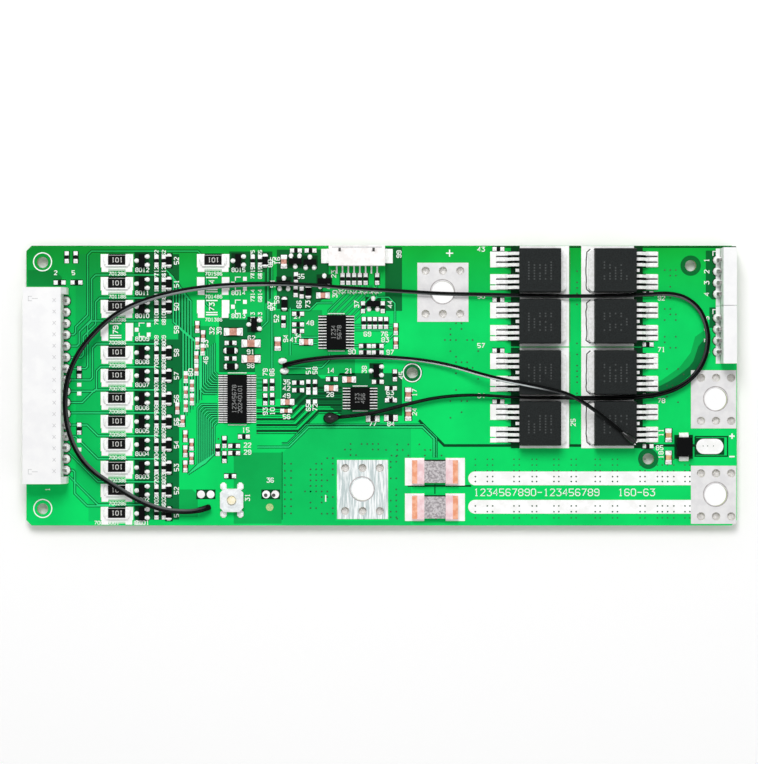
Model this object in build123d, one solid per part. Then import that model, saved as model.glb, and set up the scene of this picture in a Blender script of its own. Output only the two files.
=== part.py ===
"""Battery management board: a green two-layer circuit board with power transistors, headers and sensor leads.

All sizes are millimetres. The board lies flat with its parts side up. X runs along its length, Y across it
and Z up. The origin is under the middle of the board, level with the tips of the header pins it rests on.
"""
from build123d import *
import math
import os

# Board
BOARD_LENGTH = 160.0
BOARD_WIDTH = 63.0
BOARD_THICKNESS = 1.6
BOARD_CORNER = 1.2
PIN_TAIL = 1.3            # how far the header pins stand out below the board
LAND = 0.12               # tinned copper on the board's top face

LEFT = -BOARD_LENGTH / 2
RIGHT = BOARD_LENGTH / 2
BACK = BOARD_WIDTH / 2
FRONT = -BOARD_WIDTH / 2
UNDER = PIN_TAIL
TOP = UNDER + BOARD_THICKNESS
SEAT = TOP + LAND
LAYOUT_STEPS = 160        # steps along the board's length that places in X are counted in


def along(x):
    """A place along the board, counted in steps from its middle, that spreads with the board's length."""
    return x * BOARD_LENGTH / LAYOUT_STEPS


# Mounting holes
MOUNT_HOLE = 2.5
LEFT_HOLE_INSET = 3.65
LEFT_HOLE_SPACING = 55.5
MIDDLE_HOLE = (along(6.9), 2.9)
BACK_HOLE = (along(69.6), 27.0)
FRONT_HOLE = (along(60.05), -16.5)

# Terminal lands with a screw hole and six small plated holes each
LAND_HOLE = 5.0
SMALL_HOLE = 1.9
SMALL_HOLE_SIDES = 10
LAND_SMALL_COLUMNS = 3
BATTERY_LAND = (11.5, 13.3)
OUTPUT_LAND = (10.2, 13.1)
BATTERY_SMALL_SPACING = (3.9, 9.7)
OUTPUT_SMALL_SPACING = (3.4, 9.7)
OUTPUT_LAND_X = RIGHT - OUTPUT_LAND[0] / 2 - 0.15
OUTPUT_HOLE_X = RIGHT - 4.7
OUTPUT_HOLE_SPACING = 21.5
OUTPUT_FRONT_Y = -24.6
POSITIVE_BATTERY = (along(13.8), 21.0)
NEGATIVE_BATTERY = (along(-4.3), -23.4)

SENSE_PAD = (6.1, 3.4)
SENSE_PAD_AT = (along(73.9), -13.7)

# Shunt resistors
SHUNT_WIDTH = 5.3
SHUNT_HEIGHT = 1.6
SHUNT_ELEMENT = 4.8
SHUNT_BLOCK = 2.75
SHUNT_ARCH = 0.5
SHUNT_X = along(12.0)
SHUNT_YS = (-19.4, -27.4)
SHUNT_PAD = (4.35, 6.2)

# Bare current strips from the shunt pads to the negative output land
STRIP_WIDTH = 3.1
STRIP_GAP = 0.75
STRIP_YS = (-20.9, -27.3)
STRIP_END = OUTPUT_LAND_X - OUTPUT_LAND[0] / 2
STRIP_START = SHUNT_X + SHUNT_ELEMENT / 2 + SHUNT_PAD[0] + STRIP_GAP + STRIP_WIDTH / 2
STRIP_LENGTH = STRIP_END - STRIP_START

# Power transistors, seven leads and a tab
CASE_LENGTH = 9.3
CASE_WIDTH = 10.0
CASE_HEIGHT = 4.3
CASE_DRAFT = 6.0
CASE_FLOOR = 0.15
TAB_THICKNESS = 1.27
TAB_REACH = 1.3
TAB_WIDTH = 9.2
LEAD_PITCH = 1.27
LEAD_WIDTH = 0.7
LEAD_THICKNESS = 0.5
LEAD_LENGTH = 5.0
LEAD_FOOT = 2.0
LEAD_EXIT = 2.35
LEAD_SLOTS = (-3, -2, -1, 1, 2, 3)
STUB_LENGTH = 0.8
ROW_PITCH = 11.45
FIRST_ROW = 25.85
ROW_COUNT = 4
LEFT_CASE_X = along(35.5)
RIGHT_CASE_X = along(52.4)
TAB_PAD_GAP = 0.25
TAB_PAD = (12.4, ROW_PITCH - TAB_PAD_GAP)
TAB_PAD_MARGIN = 0.75
LEFT_PAD_EXTRA = 1.4
LEAD_PAD_LENGTH = 4.0

# Header plugs along the two short edges
HEADER_PITCH = 2.54
PIN = 0.64
HEADER_WALL = 0.9
HEADER_RECESS = (0.65, 0.9)     # undercut over the solder joints: depth, height
SOLDER_RADIUS = 0.95
SOLDER_HEIGHT = 0.55
SOLDER_NECK = 0.5
SOLDER_SIDES = 8
CELL_PIN_COUNT = 16
CELL_HEADER_END = 2.9           # from the last pin to the end of the housing
CELL_HEADER_LENGTH = (CELL_PIN_COUNT - 1) * HEADER_PITCH + 2 * CELL_HEADER_END
CELL_HEADER_DEPTH = 8.5
CELL_HEADER_HEIGHT = 6.6
CELL_HEADER_STEP = 1.0
CELL_HEADER_CHEEK = 1.5
CELL_PIN_SETBACK = 0.45
CELL_PIN_HEIGHT = 3.1
SIDE_PIN_COUNT = 4
SIDE_HEADER_END = 2.64
SIDE_HEADER_LENGTH = (SIDE_PIN_COUNT - 1) * HEADER_PITCH + 2 * SIDE_HEADER_END
SIDE_HEADER_DEPTH = 3.0
SIDE_HEADER_HEIGHT = 6.2
SIDE_HEADER_INSET = 0.8
SIDE_PIN_SETBACK = 0.6
SIDE_PIN_HEIGHT = 2.9
SIDE_HEADER_YS = (24.4, 11.4)

# Small signal socket at the back edge
SOCKET = (12.6, 4.5, 3.6)
SOCKET_X = along(-5.55)
SOCKET_INSET = 0.1
SOCKET_WALL = 0.6
SOCKET_PITCH = 1.3
SOCKET_CONTACT_COUNT = 8
SOCKET_CONTACT = (0.35, 0.3)
SOCKET_TAIL = 1.7
ANCHOR = (1.75, 3.2, 1.2)

# Integrated circuits: body width, length, leads a side, pitch, reach over the leads
CHIP_HEIGHT = 1.0
CHIP_STAND = 0.1
CHIP_DRAFT = 8.0
CHIP_LEAD = 0.2
MONITOR = (4.4, 11.0, 22, 0.5, 7.9)
CONTROL = (4.4, 7.8, 12, 0.65, 7.5)
DRIVER = (4.4, 5.0, 8, 0.65, 7.2)
MONITOR_AT = (along(-32.5), -3.0)
CONTROL_AT = (along(-10.2), 12.0)
DRIVER_AT = (along(-4.85), -2.9)

# Cell channels: one bleed resistor, two transistors and two small chips in each row
CELL_ROW_COUNT = 12
CELL_PITCH = 5.175
CELL_FIRST_Y = 28.1
CELL_EMPTY_ROW = 3
CELL_COLUMN_SHIFT = along(21.67)
BLEED = (5.0, 2.5, 0.6)
BLEED_CAP = 0.65
BLEED_X = along(-59.6)
BLEED_PAD = (1.7, 3.0)
BLEED_PAD_SPACING = 5.6
SPARE_PAD = (1.5, 1.0)
SPARE_PAD_DROP = 2.0
FIRST_TRANSISTOR_X = along(-53.95)
CHANNEL_DIODE_X = along(-47.9)
CHANNEL_CHIP_XS = (along(-50.7), along(-49.05))
TRANSISTOR = (1.3, 2.9, 1.0)
TRANSISTOR_LEAD = (0.42, 0.55)
TRANSISTOR_LEAD_SPACING = 1.9

# Chip sizes: length, width, height, metal cap (the smallest have no step that shows at their caps)
SMALL_CHIP = (1.6, 0.8, 0.45, 0)
MEDIUM_CHIP = (2.0, 1.25, 0.55, 0.4)
LARGE_CHIP = (3.2, 1.6, 0.9, 0.5)
CHIP_STEP = 0.05

# Surge diode
SURGE_BODY = (3.6, 4.4, 2.2)
SURGE_TAB = (2.1, 1.0, 0.9)
SURGE_AT = (along(68.0), -13.8)

# Push switch
SWITCH_AT = (along(-33.7), -25.8)
SWITCH_SIDE = 5.2
SWITCH_CORNER = 0.9
SWITCH_HEIGHT = 1.4
SWITCH_FLOOR = 0.4
SWITCH_WELL = 3.6
COVER_THICKNESS = 0.2
COVER_RING = 3.3
COVER_RING_HEIGHT = 0.15
PLUNGER = 1.9
PLUNGER_STAND = 0.6
PLUNGER_FLANGE = 2.9
PLUNGER_FLANGE_THICKNESS = 0.3
PLUNGER_CLEARANCE = 0.12
PLUNGER_TRAVEL = 0.25
DOME_THICKNESS = 0.08
DOME_RISE = 0.2
SWITCH_LEG = (1.4, 1.0, 0.35)
SWITCH_LEG_X = 2.0
SWITCH_LEG_Y = 3.25

# Sensor leads: twin insulated wire with a bead at the far end
LEAD_DIAMETER = 1.1
LEAD_SIDES = 8
RADIUS_SHARE = 0.45
LONG_BEAD = (3.6, 2.6)
SHORT_BEAD = (4.2, 1.5)
SPOT_RADIUS = 0.87


def laid(points):
    """Points of a lead: places spread with the board, heights above its top face."""
    return [(along(x), y, TOP + z) for x, y, z in points]


# The loop beside the cell header keeps its distance from the header's rear wall
LOOP_X = LEFT + CELL_HEADER_DEPTH
LONG_ROUTE = laid([
    (-38.9, -27.3, 0), (-38.9, -27.3, 1.7), (-40.3, -27.9, 2.7), (-43.5, -28.4, 2.2), (-48.9, -28.0, 2.3),
    (-54.2, -26.0, 2.5), (-60.1, -22.4, 2.5), (-65.5, -18.8, 2.7)])
LONG_ROUTE += [(LOOP_X + 2.6, -14.0, TOP + 3.6), (LOOP_X + 0.8, -7.6, TOP + 4.6),
               (LOOP_X + 0.75, -0.6, TOP + 4.8), (LOOP_X + 2.3, 5.0, TOP + 4.2)]
LONG_ROUTE += laid([
    (-66.2, 10.0, 3.2), (-60.4, 15.8, 2.6), (-53.0, 19.4, 2.5), (-42.4, 21.9, 2.0), (-29.5, 22.9, 1.6),
    (-17.0, 22.75, 2.4), (-6.5, 21.8, 1.9), (4.5, 21.2, 1.7), (13.5, 20.6, 1.4), (24.0, 20.45, 1.5),
    (35.0, 20.15, 1.6), (46.0, 20.05, 1.7), (57.0, 20.3, 1.6), (66.0, 20.9, 1.4), (70.9, 18.2, 1.5),
    (73.1, 13.6, 1.9), (73.4, 8.4, 1.6), (71.4, 3.2, 1.3), (66.9, -0.6, 1.5), (60.5, -2.5, 1.8),
    (49.5, -2.85, 1.7), (40.5, -2.72, 1.6), (30.0, -2.7, 1.6), (21.5, -2.0, 1.7), (13.0, -2.5, 1.3),
    (6.0, -4.1, 1.5), (0.5, -5.6, 1.65), (-4.0, -6.6, 1.6), (-9.6, -7.1, 1.45)])
SHORT_ROUTE = laid([
    (-22.1, 4.4, 0), (-22.1, 4.4, 1.5), (-20.6, 4.9, 2.3), (-17.0, 5.7, 1.7), (-10.9, 6.4, 1.4),
    (-4.0, 6.5, 1.9), (3.0, 6.3, 1.6), (10.0, 5.6, 1.4), (16.4, 4.3, 1.9), (21.5, 2.7, 3.4),
    (26.5, 1.4, 5.5), (31.5, 0.4, 6.1), (37.0, -0.7, 5.7), (41.8, -1.9, 5.5), (45.6, -4.1, 5.8),
    (49.0, -6.6, 5.7), (51.8, -8.8, 5.4), (53.5, -10.2, 5.35)])


def slab(length, width, height, x, y, z=TOP):
    """A block whose underside is at z."""
    return Pos(x, y, z + height / 2) * Box(length, width, height)


def prism(points, width, x, y, z, turn=0):
    """A side profile in the XZ plane, extruded across its width and turned about the upright axis."""
    face = make_face(Polyline(*points, close=True))
    return Pos(x, y, z) * Rot(0, 0, turn) * Rot(90, 0, 0) * extrude(face, amount=width / 2, both=True)


def moulded(length, width, height, parting, draft):
    """A moulded body: two drafted halves that meet at the parting line, standing on z = 0."""
    outline = Rectangle(length, width)
    upper = extrude(outline, amount=height - parting, taper=draft)
    lower = extrude(outline, amount=-parting, taper=draft)
    return Pos(0, 0, parting) * (upper + lower)


def land_cuts(hole_x, hole_y, spacing):
    """A screw hole with the small plated holes in front of and behind it."""
    first = -(LAND_SMALL_COLUMNS - 1) / 2
    small = RegularPolygon(SMALL_HOLE / 2, SMALL_HOLE_SIDES)
    return [Pos(hole_x, hole_y) * Circle(LAND_HOLE / 2)] + [
        Pos(hole_x + (first + n) * spacing[0], hole_y + side * spacing[1] / 2) * small
        for n in range(LAND_SMALL_COLUMNS) for side in (-1, 1)]


def header_ys(count, middle):
    """Pin positions along a header."""
    return [middle + (n - (count - 1) / 2) * HEADER_PITCH for n in range(count)]


OUTPUT_YS = (OUTPUT_FRONT_Y + OUTPUT_HOLE_SPACING, OUTPUT_FRONT_Y)
OUTPUT_SMALL_SHIFT = 0.2
TERMINALS = {
    "positive_battery_land": (POSITIVE_BATTERY, POSITIVE_BATTERY, BATTERY_LAND, BATTERY_SMALL_SPACING),
    "negative_battery_land": (NEGATIVE_BATTERY, NEGATIVE_BATTERY, BATTERY_LAND, BATTERY_SMALL_SPACING),
    "positive_output_land": ((OUTPUT_LAND_X, OUTPUT_YS[0]), (OUTPUT_HOLE_X, OUTPUT_YS[0]),
                             OUTPUT_LAND, OUTPUT_SMALL_SPACING),
    "negative_output_land": ((OUTPUT_LAND_X, OUTPUT_YS[1]), (OUTPUT_HOLE_X, OUTPUT_YS[1]),
                             OUTPUT_LAND, OUTPUT_SMALL_SPACING),
}
CELL_PIN_X = LEFT + CELL_HEADER_DEPTH + CELL_PIN_SETBACK
SIDE_REAR_X = RIGHT - SIDE_HEADER_INSET - SIDE_HEADER_DEPTH
SIDE_PIN_X = SIDE_REAR_X - SIDE_PIN_SETBACK
PIN_PLACES = ([(CELL_PIN_X, y) for y in header_ys(CELL_PIN_COUNT, 0)]
              + [(SIDE_PIN_X, y) for middle in SIDE_HEADER_YS for y in header_ys(SIDE_PIN_COUNT, middle)])
MOUNT_PLACES = [(LEFT + LEFT_HOLE_INSET, side * LEFT_HOLE_SPACING / 2) for side in (-1, 1)]
MOUNT_PLACES += [MIDDLE_HOLE, BACK_HOLE, FRONT_HOLE]
ROW_YS = [FIRST_ROW - n * ROW_PITCH for n in range(ROW_COUNT)]
CELL_YS = [CELL_FIRST_Y - n * CELL_PITCH for n in range(CELL_ROW_COUNT)]


def circuit_board():
    """The laminate with its mounting, terminal and pin holes."""
    outline = chamfer(Rectangle(BOARD_LENGTH, BOARD_WIDTH).vertices(), BOARD_CORNER)
    cuts = [Pos(x, y) * Circle(MOUNT_HOLE / 2) for x, y in MOUNT_PLACES]
    for _, hole, _, spacing in TERMINALS.values():
        cuts += land_cuts(*hole, spacing)
    cuts += [Pos(x, y) * Rectangle(PIN, PIN) for x, y in PIN_PLACES]
    return Pos(0, 0, UNDER) * extrude(outline - cuts, amount=BOARD_THICKNESS)


def terminal_land(middle, hole, size, spacing):
    """A tinned land, trimmed at the board's edge, with its screw hole and small holes."""
    plate = Pos(*middle) * Rectangle(*size)
    return Pos(0, 0, TOP) * extrude(plate - land_cuts(*hole, spacing), amount=LAND)


def current_strips():
    """Two tinned strips with rounded far ends."""
    strips = []
    for y in STRIP_YS:
        straight = Pos(STRIP_START + STRIP_LENGTH / 2, y) * Rectangle(STRIP_LENGTH, STRIP_WIDTH)
        shape = straight + Pos(STRIP_START, y) * Circle(STRIP_WIDTH / 2)
        strips.append(Pos(0, 0, TOP) * extrude(shape, amount=LAND))
    return strips


def shunts():
    """Two arched metal elements between copper blocks."""
    elements, blocks = [], []
    for y in SHUNT_YS:
        elements.append(slab(SHUNT_ELEMENT, SHUNT_WIDTH - 0.4, SHUNT_HEIGHT - SHUNT_ARCH, SHUNT_X, y,
                             SEAT + SHUNT_ARCH))
        for side in (-1, 1):
            x = SHUNT_X + side * (SHUNT_ELEMENT + SHUNT_BLOCK) / 2
            block = slab(SHUNT_BLOCK, SHUNT_WIDTH, SHUNT_HEIGHT, x, y, SEAT)
            outer = block.faces().sort_by(Axis.X)[-1 if side > 0 else 0]
            blocks.append(chamfer(outer.edges().filter_by(Axis.Y).sort_by(Axis.Z)[-1], 0.35))
    return elements, blocks


def gull_lead(width, exit_height, length, foot, thickness):
    """A lead that leaves a body at x = 0, runs out, steps down and ends in a flat foot."""
    knee = (length - foot) * 0.35
    heel = length - foot
    points = [(0, exit_height - thickness), (knee, exit_height - thickness), (heel, 0), (length, 0),
              (length, thickness), (heel + thickness * 0.4, thickness),
              (knee + thickness * 0.4, exit_height), (0, exit_height)]
    return prism(points, width, 0, 0, 0)


def transistor_frame():
    """Leads and tab of one power transistor, with the tab towards +X and the case centred on x = 0."""
    edge = CASE_LENGTH / 2
    lead = gull_lead(LEAD_WIDTH, LEAD_EXIT, LEAD_LENGTH, LEAD_FOOT, LEAD_THICKNESS)
    pieces = [Pos(-edge, slot * LEAD_PITCH, 0) * Rot(0, 0, 180) * lead for slot in LEAD_SLOTS]
    stub = slab(STUB_LENGTH, LEAD_WIDTH, LEAD_THICKNESS, -edge - STUB_LENGTH / 2, 0,
                LEAD_EXIT - LEAD_THICKNESS)
    tab = Pos(edge + TAB_REACH / 2, 0) * Rectangle(TAB_REACH, TAB_WIDTH)
    corners = tab.vertices().sort_by(Axis.X)[2:]
    tab = extrude(chamfer(corners, 0.7), amount=TAB_THICKNESS)
    return pieces + [stub, tab]


def power_case():
    """The moulded case, flat where the leads and the tab come out."""
    body = moulded(CASE_LENGTH + 0.6, CASE_WIDTH, CASE_HEIGHT, LEAD_EXIT, CASE_DRAFT)
    trim = slab(CASE_LENGTH, CASE_WIDTH + 1, CASE_HEIGHT + 1, 0, 0, -0.5)
    return body & trim


def power_transistors():
    """Eight transistors in two columns whose tabs face each other."""
    nodes = {}
    frame, case = transistor_frame(), power_case()
    for column, x, turn in (("left", LEFT_CASE_X, 0), ("right", RIGHT_CASE_X, 180)):
        for number, y in enumerate(ROW_YS, 1):
            place = Pos(x, y, SEAT) * Rot(0, 0, turn)
            nodes[f"power_case_{column}_{number}"] = [place * case]
            nodes[f"power_leads_{column}_{number}"] = [place * piece for piece in frame]
    return nodes


def transistor_pads():
    """Tinned pads under the tabs and the leads."""
    pads = []
    for x, side, extra in ((LEFT_CASE_X, 1, LEFT_PAD_EXTRA), (RIGHT_CASE_X, -1, 0)):
        tab_end = x + side * (CASE_LENGTH / 2 + TAB_REACH + TAB_PAD_MARGIN * (1 if side > 0 else 2))
        foot_end = x - side * (CASE_LENGTH / 2 + LEAD_LENGTH + extra)
        for y in ROW_YS:
            pads.append(slab(TAB_PAD[0], TAB_PAD[1], LAND, tab_end - side * TAB_PAD[0] / 2, y))
            for first, last in ((-3, -3), (-2, -1), (1, 3)):
                width = (last - first) * LEAD_PITCH + LEAD_WIDTH + 0.3
                middle = y + side * (first + last) / 2 * LEAD_PITCH
                pads.append(slab(LEAD_PAD_LENGTH, width, LAND, foot_end + side * LEAD_PAD_LENGTH / 2, middle))
    return pads


def header_housing(length, depth, height, cheek=0.0, step=0.0):
    """A shrouded header, open at -X, with its rear wall at x = depth and its cheeks beside the pins."""
    body = slab(depth, length, height, depth / 2, 0, 0)
    hollow = depth - HEADER_RECESS[0] - HEADER_WALL
    body -= slab(2 * hollow, length - 2 * HEADER_WALL, height - 2 * HEADER_WALL, 0, 0, HEADER_WALL)
    body -= slab(2 * HEADER_RECESS[0], length - 2 * cheek, HEADER_RECESS[1], depth, 0, 0)
    if cheek:
        outline = [(depth, 0), (depth + step, 0), (depth + step, height * 0.62), (depth, height)]
        for side in (-1, 1):
            body += prism(outline, cheek, 0, side * (length - cheek) / 2, 0)
    return body


def solder_cone(height):
    """An eight-sided solder fillet that narrows upwards around a pin."""
    steepness = math.degrees(math.atan((SOLDER_RADIUS - SOLDER_NECK) / height))
    return extrude(RegularPolygon(SOLDER_RADIUS, SOLDER_SIDES), amount=height, taper=steepness)


def header_pin(front_x, leg_x, height):
    """A square pin that leaves the rear wall, bends down through the board and is soldered on both faces."""
    half = PIN / 2
    outline = [(front_x, TOP + height - half), (leg_x - half, TOP + height - half), (leg_x - half, 0),
               (leg_x + half, 0), (leg_x + half, TOP + height - half * 0.2), (leg_x + half * 0.2, TOP + height + half),
               (front_x, TOP + height + half)]
    pin = prism(outline, PIN, 0, 0, 0)
    cone = solder_cone(SOLDER_HEIGHT)
    return pin + Pos(leg_x, 0, TOP) * cone + Pos(leg_x, 0, UNDER) * Rot(180, 0, 0) * cone


def slotted(housing, ys, height, x):
    """Cuts the square passage of each pin through the rear wall."""
    for y in ys:
        housing -= slab(4 * HEADER_WALL, PIN, PIN, x, y, height - PIN / 2)
    return housing


def cell_header():
    """The long header at the left edge."""
    ys = header_ys(CELL_PIN_COUNT, 0)
    shell = header_housing(CELL_HEADER_LENGTH, CELL_HEADER_DEPTH, CELL_HEADER_HEIGHT,
                           CELL_HEADER_CHEEK, CELL_HEADER_STEP)
    shell = slotted(shell, ys, CELL_PIN_HEIGHT, CELL_HEADER_DEPTH)
    pin = header_pin(1.6, CELL_HEADER_DEPTH + CELL_PIN_SETBACK, CELL_PIN_HEIGHT)
    return [Pos(LEFT, 0, TOP) * shell], [Pos(LEFT, y, 0) * pin for y in ys]


def side_header(middle):
    """A short header at the right edge, facing out."""
    ys = header_ys(SIDE_PIN_COUNT, 0)
    front = RIGHT - SIDE_HEADER_INSET
    shell = slotted(header_housing(SIDE_HEADER_LENGTH, SIDE_HEADER_DEPTH, SIDE_HEADER_HEIGHT), ys,
                    SIDE_PIN_HEIGHT, SIDE_HEADER_DEPTH)
    pin = header_pin(0.6, SIDE_HEADER_DEPTH + SIDE_PIN_SETBACK, SIDE_PIN_HEIGHT)
    turn = Rot(0, 0, 180)
    return ([Pos(front, middle, TOP) * turn * shell],
            [Pos(front, middle + y, 0) * turn * pin for y in ys])


def signal_socket():
    """The low socket at the back edge, its contacts and its two solder anchors."""
    width, depth, height = SOCKET
    y = BACK - SOCKET_INSET - depth / 2
    body = slab(width, depth, height, SOCKET_X, y)
    mouth = slab(width - 2 * SOCKET_WALL, depth, height - 2 * SOCKET_WALL, SOCKET_X, y + 2 * SOCKET_WALL,
                 TOP + SOCKET_WALL)
    body -= mouth
    for side in (-1, 1):
        body -= slab(1.1, 1.0, SOCKET_WALL, SOCKET_X + side * 3.8, y + depth / 2 - 0.9, TOP + height - SOCKET_WALL)
    contact = gull_lead(SOCKET_CONTACT[0], 0.9, SOCKET_TAIL, 1.0, SOCKET_CONTACT[1])
    rear = y - depth / 2
    contacts = []
    for n in range(SOCKET_CONTACT_COUNT):
        x = SOCKET_X + (n - (SOCKET_CONTACT_COUNT - 1) / 2) * SOCKET_PITCH
        contacts.append(Pos(x, rear, TOP) * Rot(0, 0, -90) * contact)
        contacts.append(slab(SOCKET_CONTACT[0], depth - 2.2, SOCKET_CONTACT[1], x,
                             rear + 2 * SOCKET_WALL + (depth - 2.2) / 2, TOP + height / 2))
    anchors = []
    for side in (-1, 1):
        x = SOCKET_X + side * (width + ANCHOR[0]) / 2
        anchors.append(prism([(0, 0), (ANCHOR[0], 0), (ANCHOR[0], 0.3), (0.5, 0.3), (0.5, ANCHOR[2]),
                              (0, ANCHOR[2])], ANCHOR[1], x - side * ANCHOR[0] / 2, y, TOP,
                             0 if side > 0 else 180))
    return [body], contacts, anchors


def gull_chip(place, size):
    """Body and leads of a gull-wing integrated circuit whose leads point along X."""
    width, length, count, pitch, reach = size
    body = Pos(*place, TOP + CHIP_STAND) * moulded(width, length, CHIP_HEIGHT - CHIP_STAND, 0.45, CHIP_DRAFT)
    thickness, shoulder = 0.13, CHIP_STAND + 0.5
    out = (reach - width) / 2
    points = [(0, shoulder - thickness), (out * 0.3, shoulder - thickness), (out * 0.45, 0), (out, 0),
              (out, thickness), (out * 0.6, thickness), (out * 0.42, shoulder), (0, shoulder)]
    leads = []
    for side in (-1, 1):
        for n in range(count):
            y = place[1] + (n - (count - 1) / 2) * pitch
            leads.append(prism(points, CHIP_LEAD, place[0] + side * width / 2, y, TOP, 0 if side > 0 else 180))
    return [body], leads


def small_transistor(x, y, turn=0):
    """A three-lead transistor: one lead at -X and two at +X before the turn."""
    width, length, height = TRANSISTOR
    reach, lead = TRANSISTOR_LEAD
    place = Pos(x, y, TOP) * Rot(0, 0, turn)
    body = slab(width, length, height - CHIP_STAND, 0, 0, CHIP_STAND)
    wedge = [(0, CHIP_STAND), (0, 0.6), (reach * 0.5, 0.15), (reach, 0.15), (reach, 0), (0.15, 0)]
    leads = [prism(wedge, lead, -width / 2, 0, 0, 180)]
    leads += [prism(wedge, lead, width / 2, side * TRANSISTOR_LEAD_SPACING / 2, 0) for side in (-1, 1)]
    return place * body, [place * piece for piece in leads]


def chip(size, x, y, upright):
    """A chip part along X or upright along Y; the larger ones are a step lower between their metal caps."""
    length, width, height, cap = size
    if not cap:
        return slab(width, length, height, x, y) if upright else slab(length, width, height, x, y)
    end, inner, low = length / 2, length / 2 - cap, height - CHIP_STEP
    outline = [(-end, 0), (end, 0), (end, height), (inner, height), (inner, low), (-inner, low),
               (-inner, height), (-end, height)]
    return prism(outline, width, x, y, TOP, 90 if upright else 0)


# Places of the small parts, read off the board and measured from its middle; X goes through along()
UPRIGHT_RESISTORS = [
    (-70.9, 28.9), (-68.9, 28.9), (-68.1, 3.0), (-68.1, -9.7), (-26.2, 0.1), (-24.65, 0.2), (-26.2, -3.1),
    (-24.65, -3.0), (-19.3, 24.2), (-19.35, 21.25), (-18.0, 20.95), (-22.1, 14.4), (-4.2, 17.65),
    (0.25, 17.65), (-4.0, 14.1), (-2.7, 14.1), (-1.5, 14.1), (-0.25, 14.1), (1.0, 14.1), (-16.5, 0.0),
    (-15.0, 0.0), (-35.4, -12.7), (-36.9, -14.5), (-35.4, -16.1), (3.0, 2.3)]
FLAT_RESISTORS = [
    (-72.5, 23.2), (-68.7, 23.2), (-19.3, 30.4), (-16.0, 30.4), (-18.8, 16.15), (-18.8, 13.75),
    (-18.8, 12.3), (-3.75, 8.9), (-3.75, 7.45), (-0.9, 8.9), (-0.9, 7.45), (-0.85, 0.85), (2.1, -0.6),
    (2.1, -3.3), (-18.8, 0.65), (-18.8, -1.05), (-34.0, 9.6), (-34.0, 6.1), (-33.2, -13.6), (-33.2, -15.2),
    (-31.0, -11.5), (-34.1, -20.4), (-11.2, 1.45)]
FLAT_MEDIUM_RESISTORS = [(2.1, -7.3), (-2.0, -7.45)]
UPRIGHT_CAPACITORS = [
    (-44.1, 1.9), (-44.1, -1.5), (-44.1, -4.6), (-44.8, -8.0), (-46.0, -5.1), (-42.7, 0.0), (-42.7, -3.1),
    (-41.5, 13.2), (-40.2, 11.1), (-41.5, 9.5), (-40.3, 8.1), (-41.7, 6.4), (-41.7, 3.6), (-44.2, -11.4),
    (-44.2, -14.8), (-44.2, -18.2), (-42.8, -13.3), (-42.8, -16.4), (3.2, 12.7), (3.2, 9.6)]
UPRIGHT_MEDIUM_CAPACITORS = [
    (-23.4, 9.4), (-22.0, 27.9), (6.0, -2.0), (6.0, -6.4), (64.6, -11.2), (64.6, -16.2)]
FLAT_MEDIUM_CAPACITORS = [(-13.2, BACK - 11.2), (-17.0, 9.8), (-7.3, 1.35), (-11.35, -0.6), (-21.2, -3.7)]
FLAT_SMALL_CAPACITORS = [(-21.5, -5.7)]
FLAT_LARGE_CAPACITORS = [(-33.4, 12.1), (-29.4, 9.5), (-29.4, 6.0)]
UPRIGHT_DIODES = [(-16.5, 21.1), (-21.9, 18.4)]
FLAT_DIODES = [(-34.0, 7.85), (-33.9, 4.3)]
GATE_CHIP_XS = (along(26.3), along(59.9))
GATE_CHIP_OFFSETS = (4.9, -5.15)
TRANSISTORS = [
    (-28.7, 13.75, 0), (-19.45, 28.0, 90), (-16.15, 27.75, -90),
    (-12.9, BACK - 8.0, -90), (-22.0, 23.0, -90), (-1.9, 18.4, -90), (-1.2, 3.3, 0)]
SOCKET_CHIP_SLOTS = (1, 2, 3, 4, 5, 7)
SOCKET_CHIP_GAP = 0.4
SOCKET_CHIP_Y = BACK - SOCKET_INSET - SOCKET[1] - SOCKET_TAIL - SOCKET_CHIP_GAP - SMALL_CHIP[0] / 2
DIODE = (2.5, 1.25, 0.9, 0.4)
BARE_CHIP_PAD = (0.95, 0.85)
BARE_CHIPS = [(-68.1, -0.8), (-68.1, -13.4), (-16.5, -2.6), (-15.0, -2.6)]
SPOTS = [(-26.0, -24.5), (-23.95, -24.5), (-40.65, -24.5), (-38.5, -24.5)]
LEAD_SPOTS = [(-22.3, 5.5), (-21.9, 3.3)]
JOINT_RADIUS = 0.55
JOINT_HEIGHT = 0.7
JOINT_TAPER = 23.0


def populated_rows():
    """The cell rows that carry parts: x shift of the column and y of the row."""
    rows = [(0.0, y) for n, y in enumerate(CELL_YS) if n != CELL_EMPTY_ROW]
    return rows + [(CELL_COLUMN_SHIFT, CELL_YS[0])]


def bare_rows():
    """The cell rows left without parts."""
    return [(0.0, CELL_YS[CELL_EMPTY_ROW])] + [(CELL_COLUMN_SHIFT, y) for y in CELL_YS[1:3]]


def bleed_resistors():
    """Flat ceramic resistors that bleed the cells, with metal caps."""
    length, width, height = BLEED
    bodies, caps = [], []
    for shift, y in populated_rows():
        x = BLEED_X + shift
        bodies.append(slab(length - 2 * BLEED_CAP, width, height, x, y, SEAT))
        for side in (-1, 1):
            caps.append(slab(BLEED_CAP, width, height, x + side * (length - BLEED_CAP) / 2, y, SEAT))
    return bodies, caps


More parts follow.
